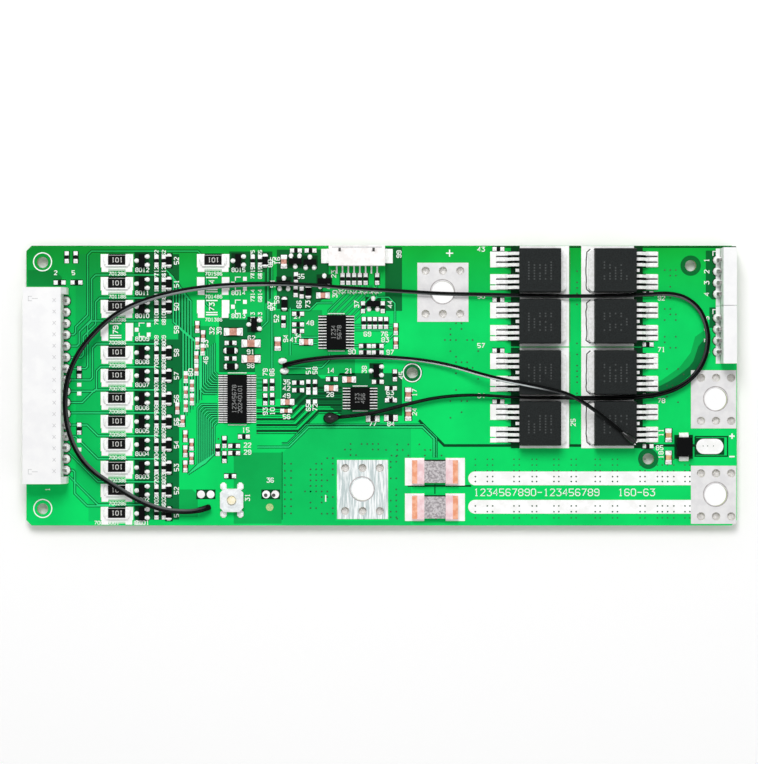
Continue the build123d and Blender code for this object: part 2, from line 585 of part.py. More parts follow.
def bare_pads():
    """Tinned pads with nothing on them, and the pads that reach past the bleed resistors."""
    pads = []
    for shift, y in populated_rows() + bare_rows():
        for side in (-1, 1):
            x = BLEED_X + shift + side * BLEED_PAD_SPACING / 2
            pads.append(slab(*BLEED_PAD, LAND, x, y))
            pads.append(slab(*SPARE_PAD, LAND, x - side * (BLEED_PAD[0] - SPARE_PAD[0]) / 2, y - SPARE_PAD_DROP))
    for shift, y in bare_rows():
        pads.append(slab(0.85, 0.9, LAND, FIRST_TRANSISTOR_X + shift - 1.2, y))
        for side in (-1, 1):
            pads.append(slab(0.85, 0.9, LAND, FIRST_TRANSISTOR_X + shift + 1.5, y + side * 1.1))
    for x, y in BARE_CHIPS:
        for side in (-1, 1):
            pads.append(slab(*BARE_CHIP_PAD, LAND, along(x), y + side * 1.0))
    for y in SHUNT_YS:
        for side in (-1, 1):
            x = SHUNT_X + side * (SHUNT_ELEMENT + SHUNT_PAD[0]) / 2
            pads.append(slab(*SHUNT_PAD, LAND, x, y))
    return pads


def sense_pad():
    """The slotted pad between the output lands."""
    length, width = SENSE_PAD
    return Pos(*SENSE_PAD_AT, TOP) * extrude(SlotOverall(length, width), amount=LAND)


def solder_spots():
    """Round pads and the two joints that hold the short sensor lead."""
    spots = [Pos(along(x), y, TOP) * extrude(Circle(SPOT_RADIUS), amount=LAND) for x, y in SPOTS]
    joint = extrude(RegularPolygon(JOINT_RADIUS, SOLDER_SIDES), amount=JOINT_HEIGHT, taper=JOINT_TAPER)
    return spots + [Pos(along(x), y, TOP) * joint for x, y in LEAD_SPOTS]


def small_parts():
    """Chips, diodes and three-lead transistors, grouped by what they are made of."""
    places = []
    for shift, y in populated_rows():
        places += [("resistor", SMALL_CHIP, x + shift, y, True) for x in CHANNEL_CHIP_XS]
        places.append(("diode", DIODE, CHANNEL_DIODE_X + shift, y, True))
    for x, offset in zip(GATE_CHIP_XS, GATE_CHIP_OFFSETS):
        places += [("resistor", SMALL_CHIP, x, y + offset, False) for y in ROW_YS]
    for slot in SOCKET_CHIP_SLOTS:
        x = SOCKET_X + (slot - (SOCKET_CONTACT_COUNT - 1) / 2) * SOCKET_PITCH
        places.append(("resistor", SMALL_CHIP, x, SOCKET_CHIP_Y, True))
    for kind, size, upright, listed in (
            ("resistor", SMALL_CHIP, True, UPRIGHT_RESISTORS), ("resistor", SMALL_CHIP, False, FLAT_RESISTORS),
            ("resistor", MEDIUM_CHIP, False, FLAT_MEDIUM_RESISTORS),
            ("capacitor", SMALL_CHIP, True, UPRIGHT_CAPACITORS),
            ("capacitor", MEDIUM_CHIP, True, UPRIGHT_MEDIUM_CAPACITORS),
            ("capacitor", MEDIUM_CHIP, False, FLAT_MEDIUM_CAPACITORS),
            ("capacitor", SMALL_CHIP, False, FLAT_SMALL_CAPACITORS),
            ("capacitor", LARGE_CHIP, False, FLAT_LARGE_CAPACITORS), ("diode", DIODE, True, UPRIGHT_DIODES),
            ("diode", DIODE, False, FLAT_DIODES)):
        places += [(kind, size, along(x), y, upright) for x, y in listed]
    groups = {"resistor": [], "capacitor": [], "diode": []}
    for kind, size, x, y, upright in places:
        groups[kind].append(chip(size, x, y, upright))
    return groups


def small_transistors():
    """All three-lead transistors: cell channel ones and those listed one by one."""
    bodies, leads = [], []
    spots = [(FIRST_TRANSISTOR_X + shift, y, 0) for shift, y in populated_rows()]
    for x, y, turn in spots + [(along(x), y, turn) for x, y, turn in TRANSISTORS]:
        body, legs = small_transistor(x, y, turn)
        bodies.append(body)
        leads += legs
    return bodies, leads


def surge_diode():
    """The large diode by the output lands, with a folded tab at each end."""
    width, length, height = SURGE_BODY
    x, y = SURGE_AT
    body = Pos(x, y, TOP + CHIP_STAND) * moulded(width, length, height, height / 2, 5)
    tab_width, reach, rise = SURGE_TAB
    tabs = []
    for side in (-1, 1):
        outline = [(0, 0), (reach, 0), (reach, 0.3), (0.3, rise), (0, rise)]
        tabs.append(prism(outline, tab_width, x, y + side * length / 2, TOP, 90 * side))
    return [body], tabs


def push_switch():
    """A square push switch: cup, cover, legs, spring dome and plunger."""
    x, y = SWITCH_AT
    place = Pos(x, y, TOP)
    square = Rectangle(SWITCH_SIDE, SWITCH_SIDE)
    outline = chamfer(square.vertices(), SWITCH_CORNER)
    cup = extrude(outline, amount=SWITCH_HEIGHT)
    cup -= Pos(0, 0, SWITCH_FLOOR) * extrude(Circle(SWITCH_WELL / 2), amount=SWITCH_HEIGHT)
    hole = Circle(PLUNGER / 2 + PLUNGER_CLEARANCE)
    cover = Pos(0, 0, SWITCH_HEIGHT) * extrude(outline - hole, amount=COVER_THICKNESS)
    ring = extrude(Circle(COVER_RING / 2) - hole, amount=COVER_RING_HEIGHT)
    cover += Pos(0, 0, SWITCH_HEIGHT + COVER_THICKNESS) * ring
    flange_top = SWITCH_HEIGHT - PLUNGER_CLEARANCE
    flange_base = flange_top - PLUNGER_FLANGE_THICKNESS
    crown = SWITCH_HEIGHT + COVER_THICKNESS + PLUNGER_STAND
    half = [(0, flange_base), (PLUNGER_FLANGE / 2, flange_base), (PLUNGER_FLANGE / 2, flange_top),
            (PLUNGER / 2, flange_top), (PLUNGER / 2, crown - 0.15), (PLUNGER / 2 - 0.15, crown), (0, crown)]
    face = Plane.XZ * make_face(Polyline(*half, close=True))
    plunger = revolve(face, Axis.Z)
    dome_radius = SWITCH_WELL / 2 - PLUNGER_CLEARANCE
    dome = [(0, SWITCH_FLOOR + DOME_RISE), (dome_radius * 0.6, SWITCH_FLOOR + DOME_RISE * 0.7),
            (dome_radius, SWITCH_FLOOR), (dome_radius, SWITCH_FLOOR + DOME_THICKNESS),
            (dome_radius * 0.6, SWITCH_FLOOR + DOME_RISE * 0.7 + DOME_THICKNESS),
            (0, SWITCH_FLOOR + DOME_RISE + DOME_THICKNESS)]
    spring = revolve(Plane.XZ * make_face(Polyline(*dome, close=True)), Axis.Z)
    legs = []
    leg_width, reach, rise = SWITCH_LEG
    for side_x in (-1, 1):
        for side_y in (-1, 1):
            legs.append(slab(leg_width, reach, rise, x + side_x * (SWITCH_LEG_X - 0.1),
                             y + side_y * (SWITCH_SIDE + reach) / 2))
    return [place * cup], [place * cover], legs, [place * spring], [place * plunger]


def lead_tube(route, name):
    """A plain eight-sided tube with a round one's area, along straight runs joined by tangent arcs."""
    points = [Vector(*point) for point in route]
    radii = []
    for before, here, after in zip(points, points[1:], points[2:]):
        turn = math.radians((here - before).get_angle(after - here))
        shorter = min((here - before).length, (after - here).length)
        radii.append(RADIUS_SHARE * shorter / math.tan(turn / 2))
    path = FilletPolyline(*points, radius=radii)
    area = math.pi * LEAD_DIAMETER ** 2 / 4
    corner = math.sqrt(2 * area / (LEAD_SIDES * math.sin(2 * math.pi / LEAD_SIDES)))
    section = Plane(origin=path @ 0, z_dir=path % 0) * RegularPolygon(corner, LEAD_SIDES)
    tube = sweep(section, path=path)
    expected = area * path.length
    print(name, "length", round(path.length, 1), "radii", [round(radius, 1) for radius in radii],
          "volume ratio", round(tube.volume / expected, 4))
    return tube


def bead(route, size):
    """An egg-shaped bead that carries on from the end of a lead."""
    end, before = Vector(*route[-1]), Vector(*route[-2])
    length, width = size
    ahead = (end - before).normalized()
    neck, girth = LEAD_DIAMETER * 0.4, width / 2
    outline = [(0, 0), (neck, 0), (girth, length - girth), (girth * 0.75, length - girth * 0.3), (0, length)]
    solid = revolve(Plane.XZ * make_face(Polyline(*outline, close=True)), Axis.Z)
    return Plane(origin=end, z_dir=ahead) * solid


def build_nodes():
    """Every named node of the board with its solids."""
    nodes = {"circuit_board": [circuit_board()]}
    for name, (middle, hole, size, spacing) in TERMINALS.items():
        nodes[name] = [terminal_land(middle, hole, size, spacing)]
    nodes["current_strips"] = current_strips()
    nodes["shunt_elements"], nodes["shunt_blocks"] = shunts()
    nodes["transistor_pads"] = transistor_pads()
    nodes.update(power_transistors())
    nodes["cell_header_housing"], nodes["cell_header_pins"] = cell_header()
    for name, middle in zip(("upper", "lower"), SIDE_HEADER_YS):
        nodes[f"{name}_header_housing"], nodes[f"{name}_header_pins"] = side_header(middle)
    nodes["signal_socket_body"], nodes["signal_socket_contacts"], nodes["signal_socket_anchors"] = signal_socket()
    for name, place, size in (("monitor", MONITOR_AT, MONITOR), ("control", CONTROL_AT, CONTROL),
                              ("driver", DRIVER_AT, DRIVER)):
        nodes[f"{name}_chip_body"], nodes[f"{name}_chip_leads"] = gull_chip(place, size)
    nodes["bleed_resistor_bodies"], nodes["bleed_resistor_caps"] = bleed_resistors()
    groups = small_parts()
    nodes["resistor_chips"], nodes["capacitor_chips"] = groups["resistor"], groups["capacitor"]
    nodes["small_diodes"] = groups["diode"]
    nodes["small_transistor_bodies"], nodes["small_transistor_leads"] = small_transistors()
    nodes["surge_diode_body"], nodes["surge_diode_tabs"] = surge_diode()
    (nodes["switch_cup"], nodes["switch_cover"], nodes["switch_legs"], nodes["switch_dome"],
     nodes["switch_plunger"]) = push_switch()
    nodes["bare_pads"] = bare_pads()
    nodes["solder_spots"] = solder_spots() + [sense_pad()]
    nodes["long_sensor_lead"] = [lead_tube(LONG_ROUTE, "long lead")]
    nodes["short_sensor_lead"] = [lead_tube(SHORT_ROUTE, "short lead")]
    nodes["sensor_beads"] = [bead(LONG_ROUTE, LONG_BEAD), bead(SHORT_ROUTE, SHORT_BEAD)]
    return nodes


def main():
    """Write one file for each node."""
    os.makedirs("parts", exist_ok=True)
    for name, pieces in build_nodes().items():
        solids = [solid for piece in pieces for solid in piece.solids()]
        export_step(Compound(children=solids), f"parts/{name}.step")
    print("nodes", len(os.listdir("parts")))


main()
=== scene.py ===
"""Looks of a battery management board: finishes, solder, print, tracks and the two sensor leads.

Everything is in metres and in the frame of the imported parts: X along the board, Y across it, Z up.
"""
from __future__ import annotations

import logging
import math
import random
from dataclasses import dataclass, field
from enum import Enum
from typing import Sequence

import bmesh
import bpy
from mathutils import Matrix, Vector


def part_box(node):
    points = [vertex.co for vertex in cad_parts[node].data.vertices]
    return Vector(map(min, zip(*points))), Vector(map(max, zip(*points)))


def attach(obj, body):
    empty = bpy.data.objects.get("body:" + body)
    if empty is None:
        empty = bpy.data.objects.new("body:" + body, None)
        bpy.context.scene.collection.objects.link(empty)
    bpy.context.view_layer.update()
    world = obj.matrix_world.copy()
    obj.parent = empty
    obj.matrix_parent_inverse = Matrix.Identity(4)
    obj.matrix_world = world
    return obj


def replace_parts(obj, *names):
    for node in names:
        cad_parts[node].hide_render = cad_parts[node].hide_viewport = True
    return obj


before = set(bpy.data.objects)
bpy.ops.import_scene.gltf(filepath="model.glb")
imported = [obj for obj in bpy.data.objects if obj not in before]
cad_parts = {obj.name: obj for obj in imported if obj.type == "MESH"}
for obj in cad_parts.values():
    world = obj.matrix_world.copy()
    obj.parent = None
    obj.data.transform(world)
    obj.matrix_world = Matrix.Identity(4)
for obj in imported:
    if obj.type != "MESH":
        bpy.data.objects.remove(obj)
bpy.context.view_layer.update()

MM = 0.001
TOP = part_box("circuit_board")[1][2] / MM  # the board's upper face in millimetres
ROUND_EDGE = 0.06  # softened edge of a small chip in millimetres
PRINT = 0.01  # height of marks above the case that they are on, in millimetres
SHARPEST_MITRE = 0.5  # keeps the corner of a narrow band from running far out
QUARTER = math.pi / 2  # a quarter turn
UP = Vector((0, 0, 1))
BODY = "board"
PAINTED_HIGHLIGHT = "painted_highlight"  # attribute of the painted highlight along a lead
SEED = 7
LOG = logging.getLogger("board")

Point2 = tuple[float, float]
Point3 = tuple[float, float, float]
Flat = tuple[float, ...]
Table = Sequence[Point2]
Box = tuple[Vector, Vector]


def linear(hex_colour: str) -> tuple[float, float, float, float]:
    """Turn an sRGB hex colour into linear values.

    Args:
        hex_colour: Six hex digits after a hash sign.

    Returns:
        Red, green, blue and alpha for a shader socket.
    """
    parts = [int(hex_colour[i:i + 2], 16) / 255 for i in (1, 3, 5)]
    values = [v / 12.92 if v <= 0.04045 else ((v + 0.055) / 1.055) ** 2.4 for v in parts]
    return (*values, 1.0)


def add_node(tree: bpy.types.NodeTree, kind: str, links: dict | None = None, **settings) -> bpy.types.Node:
    """Add a node with its settings, socket values and links.

    Args:
        tree: The node tree to add to.
        kind: The node's type name.
        links: Input name or index to a value, or to a socket to link from.
        **settings: Attributes of the node itself.

    Returns:
        The new node.
    """
    node = tree.nodes.new(kind)
    for name, value in settings.items():
        setattr(node, name, value)
    for key, value in (links or {}).items():
        socket = node.inputs[key]
        if isinstance(value, bpy.types.NodeSocket):
            tree.links.new(value, socket)
        else:
            socket.default_value = value
    return node


def empty_material(name: str) -> bpy.types.Material:
    """Make a node material that has no nodes yet.

    Args:
        name: Name of the material.

    Returns:
        The material.
    """
    material = bpy.data.materials.new(name)
    material.use_nodes = True
    material.node_tree.nodes.clear()
    return material


class Pattern(Enum):
    """How a finish's colour varies: scale along Y, and the noise levels where each colour is full."""

    GRAIN = (1.0, 0.35, 0.65)
    STREAKS = (0.08, 0.42, 0.58)
    BLOTCHES = (1.0, 0.42, 0.58)


@dataclass(frozen=True)
class Surface:
    """Material that is made once and then found by its name.

    Args:
        name: Common name of the real material.
    """

    name: str

    def build(self) -> bpy.types.Material:
        """Make the material, or find the one already made.

        Returns:
            The material.
        """
        found = bpy.data.materials.get(self.name)
        if found:
            return found
        material = empty_material(self.name)
        self.paint(material.node_tree)
        return material

    def paint(self, tree: bpy.types.NodeTree) -> None:
        """Add the nodes, which each kind of surface does in its own way."""
        raise NotImplementedError


@dataclass(frozen=True)
class Finish(Surface):
    """Material with a procedural colour, roughness and bump pattern.

    Args:
        light: Colour of the lighter parts of the pattern.
        dark: Colour of the darker parts.
        metallic: Metallic value.
        roughness: Middle roughness.
        spread: How far the roughness varies either way.
        pattern: How the colour varies.
        size_mm: Size of one blotch or grain in millimetres.
        bump: Bump strength.
        gloss: Level of the specular reflection, lower for compounds and resins that look dull.
        painted_highlight: Colour of a painted highlight, full where the piece's own attribute of that name is 1, if
            it has one.
        relief_mm: Height of the bump in millimetres.
        smoothest: Lowest roughness.
    """

    light: str
    dark: str
    metallic: float = 0.0
    roughness: float = 0.5
    spread: float = 0.05
    pattern: Pattern = Pattern.GRAIN
    size_mm: float = 0.3
    bump: float = 0.2
    gloss: float = 0.5
    painted_highlight: str = ""
    relief_mm: float = 0.05
    smoothest: float = 0.03

    def paint(self, tree: bpy.types.NodeTree) -> None:
        """Mix two colours by noise, and let the same noise drive roughness and bump.

        Args:
            tree: The material's node tree.
        """
        stretch, low, high = self.pattern.value
        place = add_node(tree, "ShaderNodeTexCoord").outputs["Object"]
        mapping = add_node(tree, "ShaderNodeMapping", {"Vector": place, "Scale": (1.0, stretch, 1.0)})
        noise = add_node(tree, "ShaderNodeTexNoise", {
            "Vector": mapping.outputs[0], "Scale": 1 / (self.size_mm * MM), "Detail": 4.0,
            "Roughness": 0.6}).outputs["Fac"]
        ramp = add_node(tree, "ShaderNodeMapRange", {"Value": noise, "From Min": low, "From Max": high})
        colour = add_node(tree, "ShaderNodeMix", {
            "Factor": ramp.outputs[0], 6: linear(self.dark), 7: linear(self.light)}, data_type="RGBA")
        # Painted highlight: a pale colour mixed in where the piece's own attribute says so
        if self.painted_highlight:
            share = add_node(tree, "ShaderNodeAttribute", attribute_name=PAINTED_HIGHLIGHT)
            colour = add_node(tree, "ShaderNodeMix", {
                "Factor": share.outputs["Fac"], 6: colour.outputs[2], 7: linear(self.painted_highlight)},
                data_type="RGBA")
        rough = add_node(tree, "ShaderNodeMapRange", {
            "Value": noise, "To Min": max(self.smoothest, self.roughness - self.spread),
            "To Max": self.roughness + self.spread})
        bump = add_node(tree, "ShaderNodeBump", {
            "Height": noise, "Strength": self.bump, "Distance": self.relief_mm * MM})
        shader = add_node(tree, "ShaderNodeBsdfPrincipled", {
            "Base Color": colour.outputs[2], "Roughness": rough.outputs[0], "Normal": bump.outputs[0],
            "Metallic": self.metallic, "Specular IOR Level": self.gloss})
        add_node(tree, "ShaderNodeOutputMaterial", {"Surface": shader.outputs[0]})


# Hot-levelled solder over copper: bright, pale, a little wavy
TINNED = Finish("levelled_tin", "#ffffff", "#f5f5f3", roughness=0.36, spread=0.08, pattern=Pattern.BLOTCHES,
                size_mm=2.4, bump=0.12)
# Big lands are duller than the pads: worn grey-white tin
LAND_TIN = Finish("worn_tin", "#e6e5e5", "#dddcdd", roughness=0.4, spread=0.08, pattern=Pattern.BLOTCHES,
                  size_mm=3.0, bump=0.1)
# The same solder scraped by a lug: grey-blue with fine streaks along Y
SCRAPED = Finish("scraped_solder", "#f6f9f9", "#bccaca", metallic=0.05, roughness=0.4, spread=0.12,
                 pattern=Pattern.STREAKS, size_mm=0.35, bump=0.35)
# Reflowed solder fillets: bright white highlights
SOLDER = Finish("reflowed_solder", "#ffffff", "#f6f7f5", roughness=0.24, spread=0.1,
                pattern=Pattern.BLOTCHES, size_mm=0.5)
# Black epoxy moulding compound: charcoal, matt, very fine grain
MOULDING = Finish("epoxy_moulding_compound", "#212525", "#131616", roughness=0.62, spread=0.06, size_mm=0.25,
                  bump=0.35, gloss=0.13)
# Smaller packages are moulded in a blacker, smoother compound
PACKAGE = Finish("fine_moulding_compound", "#0d0e0f", "#040505", spread=0.08, size_mm=0.2, gloss=0.04)
# Tin-plated copper leads: satin
LEAD_TIN = Finish("tin_plated_copper", "#ffffff", "#f0f1ee", roughness=0.3, spread=0.1,
                  pattern=Pattern.BLOTCHES, size_mm=0.7)
# Natural nylon: white with a soft sheen
NYLON = Finish("natural_nylon", "#f3f3f3", "#eeeeef", roughness=0.45, pattern=Pattern.BLOTCHES, size_mm=5.0,
               bump=0.02)
# Socket nylon is the same resin, slightly creamier
SOCKET_NYLON = Finish("cream_nylon", "#fbf8f7", "#eeeae8", roughness=0.42, pattern=Pattern.BLOTCHES,
                      size_mm=2.0, bump=0.08)
# Rolled resistance alloy: mottled mid grey, pitted
ALLOY = Finish("resistance_alloy", "#c4bfc1", "#8f898c", metallic=0.2, spread=0.1, pattern=Pattern.BLOTCHES,
               size_mm=0.45, bump=0.6)
# Bare copper end blocks: pale pink-orange
COPPER = Finish("bare_copper", "#f6dde0", "#eac2c6", metallic=0.04, roughness=0.4, spread=0.1,
                pattern=Pattern.BLOTCHES, size_mm=2.2)
# Outer ends of the copper blocks, tinted by the reflow heat
HOT_COPPER = Finish("heat_tinted_copper", "#f4b595", "#e89670", metallic=0.04, roughness=0.4, spread=0.1,
                    pattern=Pattern.BLOTCHES, size_mm=1.2)
# Glazed thick film: deep black, glossy
FILM = Finish("thick_film_glaze", "#0b0b0b", "#040404", roughness=0.3, spread=0.06, size_mm=0.4, bump=0.1,
              gloss=0.1)
# Alumina substrate: white ceramic
ALUMINA = Finish("alumina", "#ffffff", "#f1f1ef", roughness=0.55, spread=0.06, size_mm=0.4, bump=0.1)
# Fired titanate ceramic of the small capacitors: brown-pink
CERAMIC = Finish("titanate_ceramic", "#d59886", "#b47866", roughness=0.42, spread=0.06,
                 pattern=Pattern.BLOTCHES, size_mm=0.6, bump=0.15)
# The two tall capacitors at the right are sandier
SAND_CERAMIC = Finish("sandy_ceramic", "#e6bb86", "#c89b66", roughness=0.42, spread=0.06,
                      pattern=Pattern.BLOTCHES, size_mm=0.8, bump=0.15)
# Stamped steel with bright tin for the switch
SWITCH_STEEL = Finish("stamped_tinned_steel", "#f0f4f5", "#dfe4e6", metallic=0.15, roughness=0.34,
                      spread=0.08, pattern=Pattern.BLOTCHES, size_mm=1.0)
# Laminate without resist: yellow-green
BARE_CORE = Finish("bare_laminate", "#c2d596", "#8fb86a", roughness=0.55)
# Acetal plunger: warm cream
ACETAL = Finish("acetal", "#fdf7e0", "#f2e5b8", roughness=0.4, pattern=Pattern.BLOTCHES, size_mm=0.8,
                bump=0.05)
# PVC sheath of the sensor leads: glossy black, with a painted blue-grey highlight along one strand
SHEATH = Finish("pvc_sheath", "#080a0a", "#030404", roughness=0.3, pattern=Pattern.BLOTCHES, size_mm=3.0,
                bump=0.05, gloss=0.06, painted_highlight="#dfe6e7")
# Epoxy bead: glossy black, slightly lumpy
BEAD = Finish("dipped_epoxy", "#0c0d0d", "#050606", roughness=0.2, spread=0.04, pattern=Pattern.BLOTCHES,
              size_mm=1.6, bump=0.4, gloss=0.35)
# Screen-printed ink: off-white
INK = Finish("legend_ink", "#fbfffb", "#e6f3e8", roughness=0.6, bump=0.0)
# Grey laser marks on the moulded cases
GREY_MARK = Finish("laser_marked_compound", "#303535", "#262a2a", roughness=0.66, bump=0.3)
# Grey laser marks on the small chips
CHIP_MARK = Finish("lettered_compound", "#9a9c9b", "#6a6c6b", roughness=0.6, bump=0.0)
# Grey print on the resistor glaze
GREY_INK = Finish("resistor_ink", "#e8e8e4", "#b9bab6", bump=0.0)
# Painted shade: the shadowed joint between solder and tab, and the dark insides of the socket's slots and of small
# bores
SEAM = Finish("painted_shade_in_seams_and_holes", "#4a4846", "#262524", roughness=0.6, spread=0.1,
              pattern=Pattern.BLOTCHES, size_mm=0.8)
# Solder dish inside a plated hole: greyer than the land round it
HOLE_PLATING = Finish("plated_barrel", "#e2dfdf", "#c9c5c5", roughness=0.3, spread=0.1,
                      pattern=Pattern.BLOTCHES, size_mm=0.8, bump=0.1)
# Painted shade: a grey ring round the rim of a screw hole, set off so that it reads as a crescent
HOLE_RIM_SHADE = Finish("painted_screw_hole_shade", "#bdb8b8", "#a19c9c", roughness=0.35, spread=0.1,
                 pattern=Pattern.BLOTCHES, size_mm=0.9)
# Shaded edges of moulded marks
NYLON_SHADE = Finish("nylon_in_shade", "#d3d3d4", "#bfbfc1", size_mm=0.5, bump=0.0)
# Painted shade: the dark mouth of a small plated hole, drawn as a flat disc
VIA_DARK = Finish("resist_with_painted_hole_shade", "#04501f", "#033a17", roughness=0.4, bump=0.0)
# Painted shade: dark board between the leads of the transistors and chips, behind the shunts and round the header
# pins
LEAD_SHADE = Finish("painted_shade_resist", "#0a1c10", "#050e08", bump=0.0, gloss=0.1)
# Drawn tinned pins, darkened to grey as painted shade
PIN_TIN = Finish("tinned_pin_in_painted_shade", "#a5a29f", "#6f6d6b", metallic=0.6, roughness=0.3, spread=0.1,
                 pattern=Pattern.BLOTCHES, size_mm=0.6, bump=0.15)


@dataclass(frozen=True)
class Resist(Surface):
    """Green solder resist: darker toward the rear edge and brighter toward the front as painted sheen, with painted
    shade in its rear left corner and pale fibreglass on cut edges.
    """

    rear: str
    front: str
    edge: str
    # Share of brightness left in the painted shade of the rear left corner
    corner: float = 0.62
    sheen_fade_mm: tuple[float, float] = (31.5, 14.0)
    painted_shade_axis: Point3 = (8.0, -9.0, 0.0)
    painted_shade_span: tuple[float, float] = (-0.93, -0.25)
    cloud_mm: float = 11.0
    drift: tuple[float, float] = (0.88, 1.08)
    upright: tuple[float, float] = (0.4, 0.6)
    weave_mm: float = 0.8
    relief_mm: float = 0.03
    roughness: float = 0.36
    gloss: float = 0.06

    def paint(self, tree: bpy.types.NodeTree) -> None:
        """Fade the green over the board as painted sheen, darken its rear left corner as painted shade and show the
        laminate on upright faces.

        Args:
            tree: The material's node tree.
        """
        place = add_node(tree, "ShaderNodeTexCoord").outputs["Object"]
        across = add_node(tree, "ShaderNodeSeparateXYZ", {0: place})
        # Painted sheen: the green brightens from the rear edge toward the front
        sheen_fade = add_node(tree, "ShaderNodeMapRange", {
            "Value": across.outputs["Y"], "From Min": self.sheen_fade_mm[0] * MM, "From Max": self.sheen_fade_mm[1] * MM})
        ink = add_node(tree, "ShaderNodeMix", {
            "Factor": sheen_fade.outputs[0], 6: linear(self.rear), 7: linear(self.front)}, data_type="RGBA")
        # Painted shade: the rear left corner of the board is darkened
        slant = add_node(tree, "ShaderNodeVectorMath", {0: place, 1: self.painted_shade_axis}, operation="DOT_PRODUCT")
        painted_shade = add_node(tree, "ShaderNodeMapRange", {
            "Value": slant.outputs["Value"], "From Min": self.painted_shade_span[0], "From Max": self.painted_shade_span[1],
            "To Min": self.corner})
        cloud = add_node(tree, "ShaderNodeTexNoise", {
            "Vector": place, "Scale": 1 / (self.cloud_mm * MM), "Detail": 3.0})
        drift = add_node(tree, "ShaderNodeMapRange", {
            "Value": cloud.outputs["Fac"], "From Min": 0.3, "From Max": 0.7, "To Min": self.drift[0],
            "To Max": self.drift[1]})
        depth = add_node(tree, "ShaderNodeMath", {0: painted_shade.outputs[0], 1: drift.outputs[0]},
                         operation="MULTIPLY")
        shaded = add_node(tree, "ShaderNodeVectorMath", {0: ink.outputs[2], "Scale": depth.outputs[0]},
                          operation="SCALE")
        normal = add_node(tree, "ShaderNodeNewGeometry")
        upright = add_node(tree, "ShaderNodeSeparateXYZ", {0: normal.outputs["Normal"]})
        flat = add_node(tree, "ShaderNodeMath", {0: upright.outputs["Z"]}, operation="ABSOLUTE")
        face = add_node(tree, "ShaderNodeMapRange", {
            "Value": flat.outputs[0], "From Min": self.upright[0], "From Max": self.upright[1]})
        colour = add_node(tree, "ShaderNodeMix", {
            "Factor": face.outputs[0], 6: linear(self.edge), 7: shaded.outputs[0]}, data_type="RGBA")
        weave = add_node(tree, "ShaderNodeTexNoise", {
            "Vector": place, "Scale": 1 / (self.weave_mm * MM), "Detail": 2.0})
        bump = add_node(tree, "ShaderNodeBump", {
            "Height": weave.outputs["Fac"], "Strength": 0.06, "Distance": self.relief_mm * MM})
        shader = add_node(tree, "ShaderNodeBsdfPrincipled", {
            "Base Color": colour.outputs[2], "Roughness": self.roughness, "Normal": bump.outputs[0],
            "Specular IOR Level": self.gloss})
        add_node(tree, "ShaderNodeOutputMaterial", {"Surface": shader.outputs[0]})


# Resist over copper pours: vivid spring green; painted sheen brightens it toward the front, so it is deeper and
# yellower along the rear edge
RESIST = Resist("green_resist_over_copper", "#08ab36", "#08d866", "#b9c48c")
# Resist over bare laminate lets the dark core show through
CHANNEL = Resist("green_resist_over_laminate", "#056328", "#067038", "#b9c48c")
# Narrow clearances round pads and tracks look darkest; the same dark green also serves as painted shade round the
# small parts and beside the power cases
CLEARANCE = Resist("green_resist_in_clearances", "#033a17", "#034321", "#b9c48c")
# Thin inner pours lie between the two
THIN = Resist("green_resist_over_inner_pour", "#078a32", "#0aae52", "#b9c48c")
# The wide pour round the negative battery land is a shade deeper than the rest
BROAD = Resist("green_resist_over_broad_pour", "#0aa53e", "#0ac660", "#b9c48c")
# Resist over a track is as bright as over a pour
TRACK = Resist("green_resist_over_track", "#1cc45c", "#2bdc80", "#22c465", 0.72)


def turns(sides: int) -> list[float]:
    """Angles of the corners of a regular shape, in radians."""
    return [2 * math.pi * n / sides for n in range(sides)]


